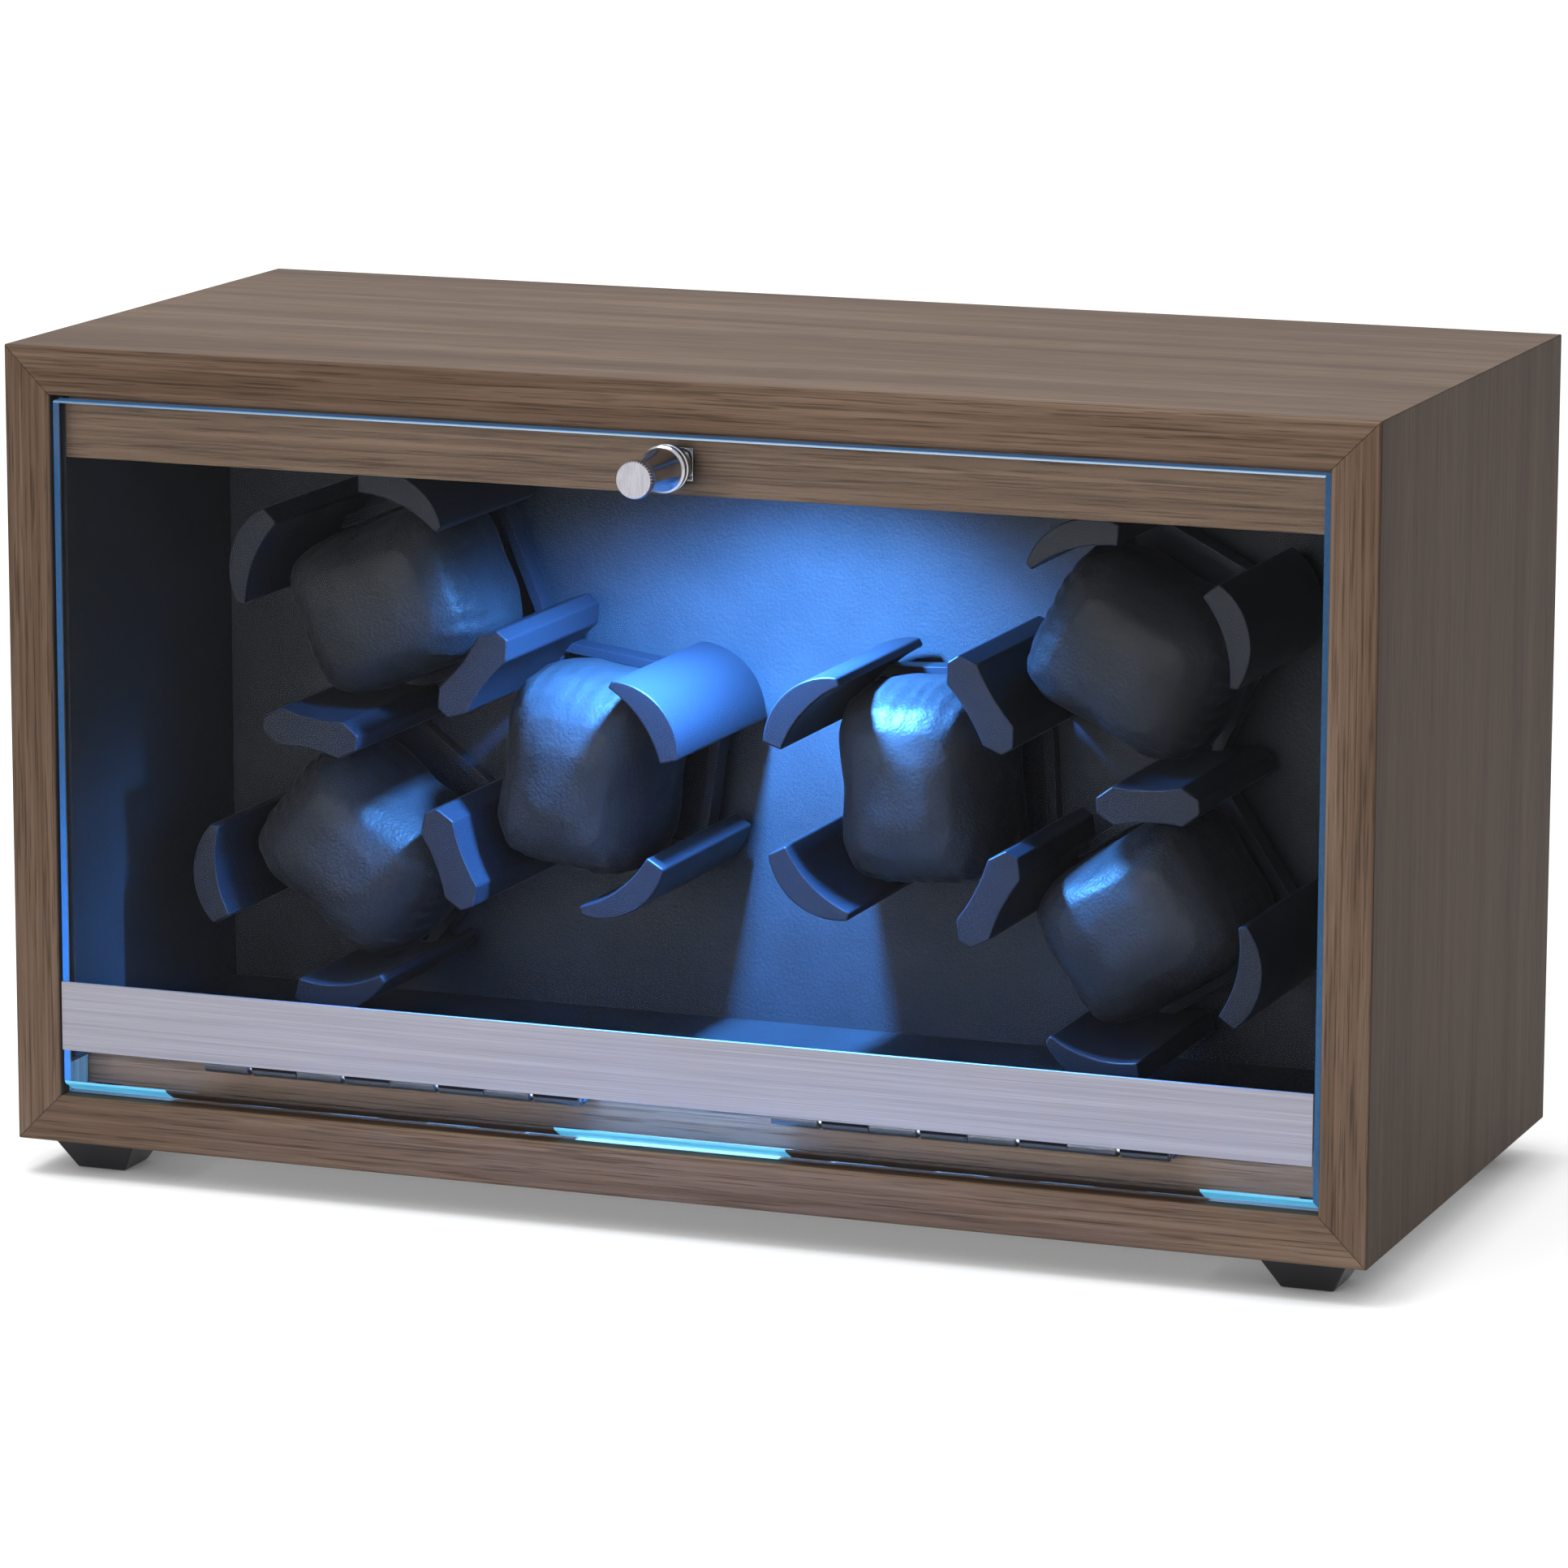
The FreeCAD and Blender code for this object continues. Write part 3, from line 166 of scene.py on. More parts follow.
def walnut(name, grain, painted_shade_factor=1.0):
    """Satin walnut laminate with its grain along X or Z, darkened throughout by the factor as painted shade.
    """
    material, shader = new_finish(name, WALNUT_MIDDLE, 0.4, specular=WALNUT_SPECULAR)

    def streaks(along, across, **kind):
        return cloud(material, tuple(along if axis == grain else across for axis in "XYZ"), **kind)

    figure = streaks(2.4, 48.0, detail=6.0, rough=0.62, twist=1.0)
    fibre = streaks(6.0, 850.0, rough=0.7, twist=0.15)
    pore = streaks(48.0, 2400.0, detail=2.0, rough=0.5)
    tone = mixture(material, figure, fibre, FIBRE_SHARE)
    wood = ramp(material, tone, [(0.33, WALNUT_DARK), (0.50, WALNUT_MIDDLE), (0.67, WALNUT_PALE)])
    pits = ramp(material, pore, [(0.36, grey(PORE_SHADE * painted_shade_factor)), (0.46, grey(painted_shade_factor))])
    feed(material, tinted(material, wood, pits), shader, "Base Color")
    rough_between(material, shader, fibre, low=0.34, high=0.5)
    raise_grain(material, shader, sums(material, "ADD", fibre, pore), strength=0.12, depth=0.25 * MM)
    return material


def ease_edges(shape, width, segments=2):
    """Round the sharp edges of a closed shape."""
    sharp = [edge for edge in shape.edges if edge.is_manifold and edge.calc_face_angle() > SHARP_ANGLE]
    bmesh.ops.bevel(shape, geom=sharp, offset=width, offset_type="OFFSET", segments=segments,
                    profile=0.5, affect="EDGES", clamp_overlap=True)


def make_piece(shape, name, materials, body, slot, *replaced):
    """Turn a built shape into a named piece that rides on a body in place of the given nodes."""
    mesh = bpy.data.meshes.new(name)
    shape.to_mesh(mesh)
    shape.free()
    for material in materials:
        mesh.materials.append(material)
    mesh.shade_smooth()
    mesh.set_sharp_from_angle(angle=SHARP_ANGLE)
    piece = bpy.data.objects.new(name, mesh)
    bpy.context.scene.collection.objects.link(piece)
    piece.modifiers.new("flat_faces", "WEIGHTED_NORMAL").keep_sharp = True
    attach(piece, body)
    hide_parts(*replaced)
    return piece


def body_of(node):
    return frame["nodes"][node]["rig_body"]


def eased(node, ease, material, slot, segments=2):
    """The node's own shape with its edges eased, as a piece that stands for it."""
    shape = bmesh.new()
    shape.from_mesh(frame["nodes"][node].data)
    bmesh.ops.remove_doubles(shape, verts=shape.verts, dist=WELD_DISTANCE)
    bmesh.ops.dissolve_limit(shape, angle_limit=FLAT_ANGLE, verts=shape.verts, edges=shape.edges)
    ease_edges(shape, ease, segments)
    for face in shape.faces:
        face.material_index = 0
    return make_piece(shape, node + "_piece", [material], body_of(node), slot, node)


level_walnut = walnut("walnut_along_the_width", "X")
upright_walnut = walnut("walnut_upright", "Z")
for node in ("top_panel", "bottom_panel"):
    eased(node, PANEL_EASE, level_walnut, "walnut")
for node in ("left_panel", "right_panel"):
    eased(node, PANEL_EASE, upright_walnut, "walnut")

# Floor board and fascia: the same laminate on two inner boards behind the glass.
# The floor board carries the hinges, and the fascia hides the lamp; its laminate is darkened as painted
# shade under the top panel.
FASCIA_PAINTED_SHADE = 0.72
eased("floor_board", PANEL_EASE, level_walnut, "walnut")
eased("top_fascia", PANEL_EASE, walnut("walnut_of_the_fascia_in_painted_shade", "X", FASCIA_PAINTED_SHADE), "walnut")

# Lining: thin black leather glued to the walls, ceiling, floor and motor board.
# Its fine pebble grain catches the lamp's light.
LINING_COLOUR = (0.0165, 0.0175, 0.0215, 1)
LINING_EASE = 0.3 * MM
LEATHER_SPECULAR = 0.1
PEBBLES_PER_METRE = 1250.0
PEBBLE_HEIGHT = 0.3 * MM


def leather(name, colour, roughness, relief):
    """Pebbled leather: rounded cells of uneven size with a soft sheen."""
    material, shader = new_finish(name, colour, roughness, specular=LEATHER_SPECULAR)
    cells = put(material, "TexVoronoi", {
        "Vector": stretched(material, PEBBLES_PER_METRE), "Scale": 1.0, "Randomness": 1.0,
    }, feature="SMOOTH_F1")
    pebbles = sums(material, "MULTIPLY", cells.outputs["Distance"], -1.0)
    wander = cloud(material, 300.0, detail=2.0)
    patches = cloud(material, 45.0, detail=3.0)
    shade = ramp(material, patches, [(0.3, grey(0.7)), (0.7, grey(1.0))])
    feed(material, tinted(material, colour, shade), shader, "Base Color")
    rough_between(material, shader, cells.outputs["Distance"], roughness - 0.07, roughness + 0.12)
    raise_grain(material, shader, sums(material, "ADD", pebbles, wander), relief, PEBBLE_HEIGHT)
    return material


lining_leather = leather("lining_leather", LINING_COLOUR, roughness=0.52, relief=0.24)
for node in ("left_liner", "right_liner", "floor_liner", "ceiling_liner", "board_liner"):
    eased(node, LINING_EASE, lining_leather, "lining")

# Lamp: a white moulded tray under the ceiling with a frosted lens over its blue-white diodes.
# It is lit, and it alone colours the cabin.
TRAY_EASE = 0.5 * MM
LENS_EASE = 0.3 * MM
LENS_GLOW_COLOUR = (0.35, 0.66, 1.0, 1)
LENS_GLOW = 5.0
LAMP_COLOUR = (0.085, 0.36, 1.0)
LAMP_WATTS = 28.0
LAMP_CONE = math.radians(140)
LAMP_TILT = math.radians(13)


def varied(name, colour, roughness, per_metre, detail=3.0, rough=0.55, gloss=None, tones=None,
           relief=None, **base):
    """A finish whose roughness, colour and relief follow one noise, each where it is given."""
    material, shader = new_finish(name, colour, roughness, **base)
    uneven = cloud(material, per_metre, detail, rough)
    if gloss:
        rough_between(material, shader, uneven, *gloss)
    if tones:
        dark, pale = tones
        feed(material, ramp(material, uneven, [(0.3, dark), (0.7, pale)]), shader, "Base Color")
    if relief:
        raise_grain(material, shader, uneven, *relief)
    return material


lamp_plastic = varied("lamp_tray_plastic", (0.72, 0.72, 0.71, 1), 0.45, 900.0, detail=2.0,
                      relief=(0.1, 0.1 * MM))
eased("lamp_housing", TRAY_EASE, lamp_plastic, "lamp_housing")

frosted_lens, shader = new_finish("frosted_lamp_lens", (0.80, 0.88, 0.95, 1), 0.35)
rough_between(frosted_lens, shader, cloud(frosted_lens, 700.0, detail=3.0), low=0.25, high=0.5)
shader.inputs["Emission Color"].default_value = LENS_GLOW_COLOUR
shader.inputs["Emission Strength"].default_value = LENS_GLOW
eased("lamp_lens", LENS_EASE, frosted_lens, "lamp_lens")

lens_low, lens_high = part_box("lamp_lens")
lens_middle = (lens_low + lens_high) / 2
lamp = bpy.data.lights.new("lamp_light", "SPOT")
lamp.spot_size = LAMP_CONE
lamp.spot_blend = 1.0
lamp.shadow_soft_size = (lens_high.y - lens_low.y) / 2
lamp.color = LAMP_COLOUR
lamp.energy = LAMP_WATTS
lamp_object = bpy.data.objects.new("lamp_light", lamp)
lamp_object.location = (lens_middle.x, lens_middle.y, lens_low.z - lamp.shadow_soft_size)
lamp_object.rotation_euler = (LAMP_TILT, 0, 0)
bpy.context.scene.collection.objects.link(lamp_object)

# Turntables: one black plastic moulding each, with three square trays round a triangle.
# Six petal prongs and three shared fins stand on it and hold the pillows.
HOLDER_SIDE = 47.5 * MM
HOLDER_TURNS = (0, 120, 240)
TRAY_CORNER = 45.0
PETAL_THICKNESS = 6.6 * MM
PETAL_WIDE_END = 5.2 * MM
PETAL_NARROW_END = 2.2 * MM
PETAL_HALF_ANGLE = 22.0
PETAL_STEPS = 14
FIN_TURN = 60
FIN_LENGTH = 26.0 * MM
FIN_HALF = 4.8 * MM
FIN_WAIST = 4.0 * MM
FIN_POINT = 4.4 * MM
FIN_TIP = 1.8 * MM
FIN_STEPS = 10
PRONG_LENGTH = 60.0 * MM
PRONG_EASE = 0.55 * MM
BASE_THICKNESS = 3.0 * MM
RIM_HEIGHT = 4.0 * MM
RIM_THICKNESS = 2.6 * MM
HUB_RADIUS = 8.0 * MM
HUB_STEPS = 48
REST_ANGLES = {"left": -8.0, "right": 183.0}
triangle_inradius = HOLDER_SIDE / (2 * math.sqrt(3))
triangle_vertex = HOLDER_SIDE / math.sqrt(3)
holder_offset = triangle_inradius + HOLDER_SIDE / 2
petal_inner = HOLDER_SIDE / math.sqrt(2) - PETAL_THICKNESS / 2
prong_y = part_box("left_turntable")[0].y
hub_back_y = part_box("left_turntable")[1].y
rotor_y = prong_y + PRONG_LENGTH
tray_floor_y = rotor_y - BASE_THICKNESS
axes = {joint["name"]: Vector(joint["pos_m"]) for joint in frame["joints"] if "pos_m" in joint}

table_plastic = varied("turntable_plastic", (0.0075, 0.0085, 0.0125, 1), 0.36, 60.0,
                       gloss=(0.30, 0.44), relief=(0.03, 0.5 * MM), specular=0.1)


def arc_through(start, middle, end, steps):
    """Points along the arc through three points of a plane, ends included."""
    (ax, az), (bx, bz), (cx, cz) = start, middle, end
    span = 2 * (ax * (bz - cz) + bx * (cz - az) + cx * (az - bz))
    a_square, b_square, c_square = ax * ax + az * az, bx * bx + bz * bz, cx * cx + cz * cz
    mid_x = (a_square * (bz - cz) + b_square * (cz - az) + c_square * (az - bz)) / span
    mid_z = (a_square * (cx - bx) + b_square * (ax - cx) + c_square * (bx - ax)) / span
    radius = math.hypot(ax - mid_x, az - mid_z)
    first = math.atan2(az - mid_z, ax - mid_x)
    turn = (math.atan2(cz - mid_z, cx - mid_x) - first + math.pi) % (2 * math.pi) - math.pi
    places = []
    for step in range(steps + 1):
        angle = first + turn * step / steps
        places.append((mid_x + radius * math.cos(angle), mid_z + radius * math.sin(angle)))
    return places


def prism(outline, low_y, high_y, ease=0.0, segments=3):
    """A closed bar along Y with the given outline in X and Z."""
    shape = bmesh.new()
    rings = [[shape.verts.new((x, y, z)) for x, z in outline] for y in (low_y, high_y)]
    for ring in rings:
        shape.faces.new(ring)
    for index in range(len(outline)):
        shape.faces.new((rings[0][index - 1], rings[0][index], rings[1][index], rings[1][index - 1]))
    bmesh.ops.recalc_face_normals(shape, faces=shape.faces)
    if ease:
        ease_edges(shape, ease, segments)
    return shape


def petal(side):
    """A curved prong on a tray's outer corner, thick at one end and thin at the other."""
    def place(radius, turn):
        angle = math.radians(side * (TRAY_CORNER + turn))
        return (holder_offset + radius * math.cos(angle), radius * math.sin(angle))

    inner = arc_through(place(petal_inner, -PETAL_HALF_ANGLE), place(petal_inner, 0),
                        place(petal_inner, PETAL_HALF_ANGLE), PETAL_STEPS)
    outer = arc_through(place(petal_inner + PETAL_NARROW_END, PETAL_HALF_ANGLE),
                        place(petal_inner + PETAL_THICKNESS, 0),
                        place(petal_inner + PETAL_WIDE_END, -PETAL_HALF_ANGLE), PETAL_STEPS)
    return prism(inner + outer, prong_y, rotor_y, PRONG_EASE)


def fin():
    """A waisted prong that two neighbouring trays share."""
    near = triangle_vertex - FIN_LENGTH / 2
    far = triangle_vertex + FIN_LENGTH / 2
    upper = arc_through((near + FIN_POINT, FIN_HALF), (triangle_vertex, FIN_WAIST),
                        (far - FIN_POINT, FIN_HALF), FIN_STEPS)
    lower = [(x, -z) for x, z in reversed(upper)]
    tips = [(far, FIN_TIP), (far, -FIN_TIP)]
    outline = [(near, FIN_TIP)] + upper + tips + lower + [(near, -FIN_TIP)]
    return prism(outline, prong_y, rotor_y, PRONG_EASE)


def rectangle(low_x, high_x, half_z):
    return [(low_x, -half_z), (high_x, -half_z), (high_x, half_z), (low_x, half_z)]


def tray():
    """Square tray with its rim: an outer box whose front is sunk to the floor."""
    low, high, half = triangle_inradius, triangle_inradius + HOLDER_SIDE, HOLDER_SIDE / 2
    outer = rectangle(low, high, half)
    inner = rectangle(low + RIM_THICKNESS, high - RIM_THICKNESS, half - RIM_THICKNESS)
    rim_y = tray_floor_y - RIM_HEIGHT
    shape = bmesh.new()
    loops = []
    for outline, y in ((outer, rotor_y), (outer, rim_y), (inner, rim_y), (inner, tray_floor_y)):
        loops.append([shape.verts.new((x, y, z)) for x, z in outline])
    for first, second in zip(loops, loops[1:]):
        for index in range(len(outer)):
            shape.faces.new((first[index - 1], first[index], second[index], second[index - 1]))
    shape.faces.new(loops[0])
    shape.faces.new(loops[-1])
    bmesh.ops.recalc_face_normals(shape, faces=shape.faces)
    ease_edges(shape, PRONG_EASE / 2)
    return shape


def joined(shapes):
    """One closed mesh from shapes that run into each other."""
    group = bpy.data.collections.new("shapes_to_join")
    made = []
    for shape in shapes:
        mesh = bpy.data.meshes.new("shape_to_join")
        shape.to_mesh(mesh)
        shape.free()
        made.append(bpy.data.objects.new("shape_to_join", mesh))
    bpy.context.scene.collection.children.link(group)
    bpy.context.scene.collection.objects.link(made[0])
    for other in made[1:]:
        group.objects.link(other)
    union = made[0].modifiers.new("union", "BOOLEAN")
    union.operation = "UNION"
    union.operand_type = "COLLECTION"
    union.collection = group
    union.solver = "EXACT"
    result = bmesh.new()
    whole = made[0].evaluated_get(bpy.context.evaluated_depsgraph_get())
    result.from_mesh(whole.to_mesh())
    whole.to_mesh_clear()
    for other in made:
        bpy.data.objects.remove(other)
    bpy.data.collections.remove(group)
    return result


def turned(degrees):
    """Turn a shape in the front view, from +X towards +Z."""
    return Matrix.Rotation(-math.radians(degrees), 4, "Y")


def round_outline(radius, degrees):
    """Points on a circle at the given angles."""
    angles = [math.radians(turn) for turn in degrees]
    return [(radius * math.cos(angle), radius * math.sin(angle)) for angle in angles]


plate_outline = round_outline(triangle_vertex, [turn + FIN_TURN for turn in HOLDER_TURNS])
hub_outline = round_outline(HUB_RADIUS, [360 * step / HUB_STEPS for step in range(HUB_STEPS)])
moulding_shapes = [
    prism(plate_outline, tray_floor_y, rotor_y),
    prism(hub_outline, tray_floor_y, hub_back_y, PRONG_EASE),
]
for turn in HOLDER_TURNS:
    for shape, offset in ((tray(), 0), (petal(1), 0), (petal(-1), 0), (fin(), FIN_TURN)):
        shape.transform(turned(turn + offset))
        moulding_shapes.append(shape)
moulding = joined(moulding_shapes)
for side, angle in REST_ANGLES.items():
    table = side + "_turntable"
    shape = moulding.copy()
    axis = axes[table + "_spin"]
    shape.transform(Matrix.Translation((axis.x, 0, axis.z)) @ turned(angle))
    make_piece(shape, table + "_moulding", [table_plastic], table, "turntable", table)
moulding.free()

# Pillows: foam wrapped in black pebbled leather, gathered in folds at both ends.
# Each sits in its tray between the prongs and pulls out towards the door.
PILLOW_COLOUR = (0.012, 0.0125, 0.015, 1)
PILLOW_VOXEL = 1.8 * MM
PILLOW_START = 0.965
PILLOW_SWELL = 1.6 * MM
PILLOW_PRESSURE = 4.0
PILLOW_FRAMES = 20
GATHER_DEPTH = 0.9 * MM
GATHER_FOLDS = 9
GATHER_START = 0.5
GATHER_FRONT = 0.55
GATHER_REACH = 0.75
FOLD_WANDER = 2.5
FOLD_WANDERS_PER_METRE = 60
DENT_DEPTH = 0.2 * MM
DENTS_PER_METRE = 95
DENT_SHIFT = Vector((3.1, 0, 7.7))
pillow_leather = leather("pillow_leather", PILLOW_COLOUR, roughness=0.46, relief=0.3)


def stuffed_pillow(node):
    """A cushion about the origin, swollen from the node's solid as leather over foam swells."""
    low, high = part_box(node)
    middle = (low + high) / 2
    shape = bmesh.new()
    shape.from_mesh(frame["nodes"][node].data)
    shape.transform(Matrix.Scale(PILLOW_START, 4) @ Matrix.Translation(-middle))
    mesh = bpy.data.meshes.new("pillow_blank")
    shape.to_mesh(mesh)
    shape.free()
    blank = bpy.data.objects.new("pillow_blank", mesh)
    bpy.context.scene.collection.objects.link(blank)
    remesh = blank.modifiers.new("even_mesh", "REMESH")
    remesh.mode = "VOXEL"
    remesh.voxel_size = PILLOW_VOXEL
    even = bpy.data.meshes.new_from_object(blank.evaluated_get(bpy.context.evaluated_depsgraph_get()))
    blank.modifiers.clear()
    blank.data = even
    start = [vertex.co.copy() for vertex in even.vertices]
    swollen = start
    cloth = blank.modifiers.new("swell", "CLOTH")
    cloth.settings.quality = 6
    cloth.settings.mass = 0.25
    cloth.settings.tension_stiffness = 12
    cloth.settings.compression_stiffness = 12
    cloth.settings.bending_stiffness = 0.3
    cloth.settings.use_pressure = True
    cloth.settings.uniform_pressure_force = PILLOW_PRESSURE
    cloth.settings.effector_weights.gravity = 0
    cloth.point_cache.frame_end = PILLOW_FRAMES
    for step in range(1, PILLOW_FRAMES + 1):
        bpy.context.scene.frame_set(step)
    risen = blank.evaluated_get(bpy.context.evaluated_depsgraph_get()).to_mesh()
    swollen = [vertex.co.copy() for vertex in risen.vertices]
    bpy.context.scene.frame_set(1)
    result = bmesh.new()
    result.from_mesh(even)
    result.verts.ensure_lookup_table()
    for vertex, before, after in zip(result.verts, start, swollen):
        moved = after - before
        if moved.length > PILLOW_SWELL:
            moved *= PILLOW_SWELL / moved.length
        vertex.co = before + moved
    bpy.data.objects.remove(blank)
    return result, middle


def gather(cushion):
    """Press folds into both ends of the cushion, deepest towards its front, and dent it slightly."""
    half_depth = max(vertex.co.y for vertex in cushion.verts)
    half_length = max(vertex.co.z for vertex in cushion.verts)
    half_across = max(vertex.co.x for vertex in cushion.verts)
    for vertex in cushion.verts:
        end = abs(vertex.co.z) / half_length
        front = -vertex.co.y / half_depth
        at_end = max(0.0, (end - GATHER_START) / (1 - GATHER_START))
        at_front = max(0.0, 1 - abs(front - GATHER_FRONT) / GATHER_REACH)
        wander = FOLD_WANDER * random_field.noise(vertex.co * FOLD_WANDERS_PER_METRE)
        wave = math.cos(GATHER_FOLDS * math.pi * vertex.co.x / half_across + wander)
        dent = random_field.noise(vertex.co * DENTS_PER_METRE + DENT_SHIFT)
        fold = GATHER_DEPTH * at_end * at_front * (wave - 1) / 2
        vertex.co += vertex.normal * (fold + DENT_DEPTH * dent)


cushion, cushion_middle = stuffed_pillow("left_pillow_1")
upright = turned(-REST_ANGLES["left"])
cushion.transform(upright)
cushion.normal_update()
gather(cushion)
offset = cushion_middle - axes["left_turntable_spin"]
offset.y = 0
for side, angle in REST_ANGLES.items():
    axis = axes[side + "_turntable_spin"]
    for number, holder_turn in enumerate(HOLDER_TURNS, 1):
        node = "%s_pillow_%d" % (side, number)
        low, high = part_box(node)
        turn = turned(angle + holder_turn)
        placed = turn @ upright @ offset
        middle = Vector((axis.x + placed.x, (low.y + high.y) / 2, axis.z + placed.z))
        shape = cushion.copy()
        shape.transform(Matrix.Translation(middle) @ turn)
        pillow = make_piece(shape, node + "_cushion", [pillow_leather], node, "pillow", node)
        pillow.modifiers.new("smooth_leather", "SUBSURF").render_levels = 1
cushion.free()

# Door glass: one sheet of float glass with ground arrises, bevelled along its foot.
# Its edges get a painted glow, blue round the sides and cyan at the foot, and the foot behind the hinges
# gets a painted shade.
ARRIS = 0.5 * MM
# Between these distances from the middle, the foot faces behind the hinges take a painted shade.
PAINTED_SHADE_INNER = 30.0 * MM
PAINTED_SHADE_OUTER = 134.0 * MM
FRONT_DEPTH = 0.1 * MM
GLASS_IOR = 1.46
GLASS_REFLECTION = 0.05
GLASS_PASSING = (0.93, 0.96, 0.96, 1)
# Body and emission colours of the painted glow on the sides and on the open stretches of the foot.
EDGE_BODY = (0.035, 0.10, 0.18, 1)
EDGE_DULL = (0.07, 0.24, 0.58, 1)
EDGE_BRIGHT = (0.13, 0.36, 0.74, 1)
EDGE_PAINTED_GLOW = 0.28
FOOT_BODY = (0.10, 0.38, 0.50, 1)
FOOT_DULL = (0.05, 0.34, 0.62, 1)
FOOT_BRIGHT = (0.10, 0.50, 0.80, 1)
FOOT_PAINTED_GLOW = 0.62
CLEAR, EDGE, PAINTED_SHADE_FACES, FOOT = range(4)
FACE_LEAN = 0.95
FOOT_LEAN = 0.3
END_LEAN = 0.5
glass_low, glass_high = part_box("door_glass")
foot_front_z = min(vertex.co.z for vertex in frame["nodes"]["door_glass"].data.vertices
                   if vertex.co.y < glass_low.y + FRONT_DEPTH)

clear_glass, shader = new_finish("clear_glass", (0.975, 0.995, 1.0, 1), 0.0)
shader.inputs["Transmission Weight"].default_value = 1.0
shader.inputs["IOR"].default_value = GLASS_IOR
shader.inputs["Specular Tint"].default_value = grey(GLASS_REFLECTION)
through = put(clear_glass, "BsdfTransparent", {"Color": GLASS_PASSING})
path = put(clear_glass, "LightPath", {})
passing = put(clear_glass, "MixShader", {
    0: path.outputs["Is Shadow Ray"], 1: shader.outputs[0], 2: through.outputs[0],
})
feed(clear_glass, passing.outputs[0], clear_glass.node_tree.nodes["Material Output"], "Surface")


def painted_glow_finish(name, body, dull, bright, strength):
    """A ground edge of the sheet with a painted glow that stands for the lamp's light inside the glass."""
    material, shader = new_finish(name, body, 0.2)
    streak = cloud(material, (120.0, 900.0, 900.0), detail=3.0)
    shine = ramp(material, streak, [(0.3, dull), (0.7, bright)])
    feed(material, shine, shader, "Emission Color")
    shader.inputs["Emission Strength"].default_value = strength
    return material


painted_edge_glow_finish = painted_glow_finish("glass_edge_with_painted_glow", EDGE_BODY, EDGE_DULL, EDGE_BRIGHT, EDGE_PAINTED_GLOW)
painted_foot_glow_finish = painted_glow_finish("lit_glass_foot", FOOT_BODY, FOOT_DULL, FOOT_BRIGHT, FOOT_PAINTED_GLOW)
# Painted shade: a dark brown for the foot faces behind the hinges, standing for the hinges' shadow.
painted_shade_finish = varied("glass_foot_with_painted_shade", (0.040, 0.027, 0.019, 1), 0.4, (90.0, 700.0, 700.0),
                     gloss=(0.3, 0.5), specular=0.2)


def eased_corners(corners, width):
    """Cut each corner of an outline, so that the edges along it are ground."""
    cut = []
    for index, corner in enumerate(corners):
        for other in (corners[index - 1], corners[(index + 1) % len(corners)]):
            way = (Vector(other) - Vector(corner)).normalized()
            cut.append(Vector(corner) + way * width)
    return cut


glass_outline = eased_corners([(glass_low.y, foot_front_z), (glass_high.y, glass_low.z),
                               (glass_high.y, glass_high.z), (glass_low.y, glass_high.z)], ARRIS)
glass_shape = bmesh.new()
rings = []
for x in (glass_low.x, -PAINTED_SHADE_OUTER, -PAINTED_SHADE_INNER, PAINTED_SHADE_INNER, PAINTED_SHADE_OUTER, glass_high.x):
    rings.append([glass_shape.verts.new((x, y, z)) for y, z in glass_outline])
glass_shape.faces.new(rings[0])
glass_shape.faces.new(rings[-1])
for first, second in zip(rings, rings[1:]):
    for index in range(len(glass_outline)):
        glass_shape.faces.new((first[index - 1], first[index], second[index], second[index - 1]))
bmesh.ops.recalc_face_normals(glass_shape, faces=glass_shape.faces)
# The foot faces behind the hinges get painted shade; the sides and the rest of the foot get a painted glow.
for face in glass_shape.faces:
    across = abs(face.calc_center_median().x)
    face.material_index = CLEAR if abs(face.normal.y) > FACE_LEAN else EDGE
    if face.normal.z < -FOOT_LEAN and abs(face.normal.x) < END_LEAN:
        face.material_index = PAINTED_SHADE_FACES if PAINTED_SHADE_INNER < across < PAINTED_SHADE_OUTER else FOOT
glass_finishes = [clear_glass, painted_edge_glow_finish, painted_shade_finish, painted_foot_glow_finish]
make_piece(glass_shape, "door_glass_sheet", glass_finishes, "door", "glass", "door_glass")

# Door strip: an aluminium bar stuck across the foot of the glass, brushed along its length.
# Fine hairs and broader bands run along it and shade its colour and its gloss.
STRIP_EASE = 0.22 * MM
STRIP_DARK = (0.235, 0.228, 0.265, 1)
STRIP_PALE = (0.40, 0.39, 0.435, 1)
BAND_SHARE = 0.35
brushed, shader = new_finish("brushed_aluminium", (0.36, 0.35, 0.40, 1), 0.34, metallic=1.0)
shader.inputs["Anisotropic"].default_value = 0.5
hairs = cloud(brushed, (14.0, 5200.0, 5200.0), rough=0.75)
bands = cloud(brushed, (5.0, 900.0, 900.0), detail=3.0, rough=0.6)
lines = mixture(brushed, hairs, bands, BAND_SHARE)
feed(brushed, ramp(brushed, lines, [(0.36, STRIP_DARK), (0.64, STRIP_PALE)]), shader, "Base Color")
rough_between(brushed, shader, lines, low=0.28, high=0.5)
raise_grain(brushed, shader, hairs, strength=0.25, depth=0.08 * MM)
eased("door_strip", STRIP_EASE, brushed, "strip")

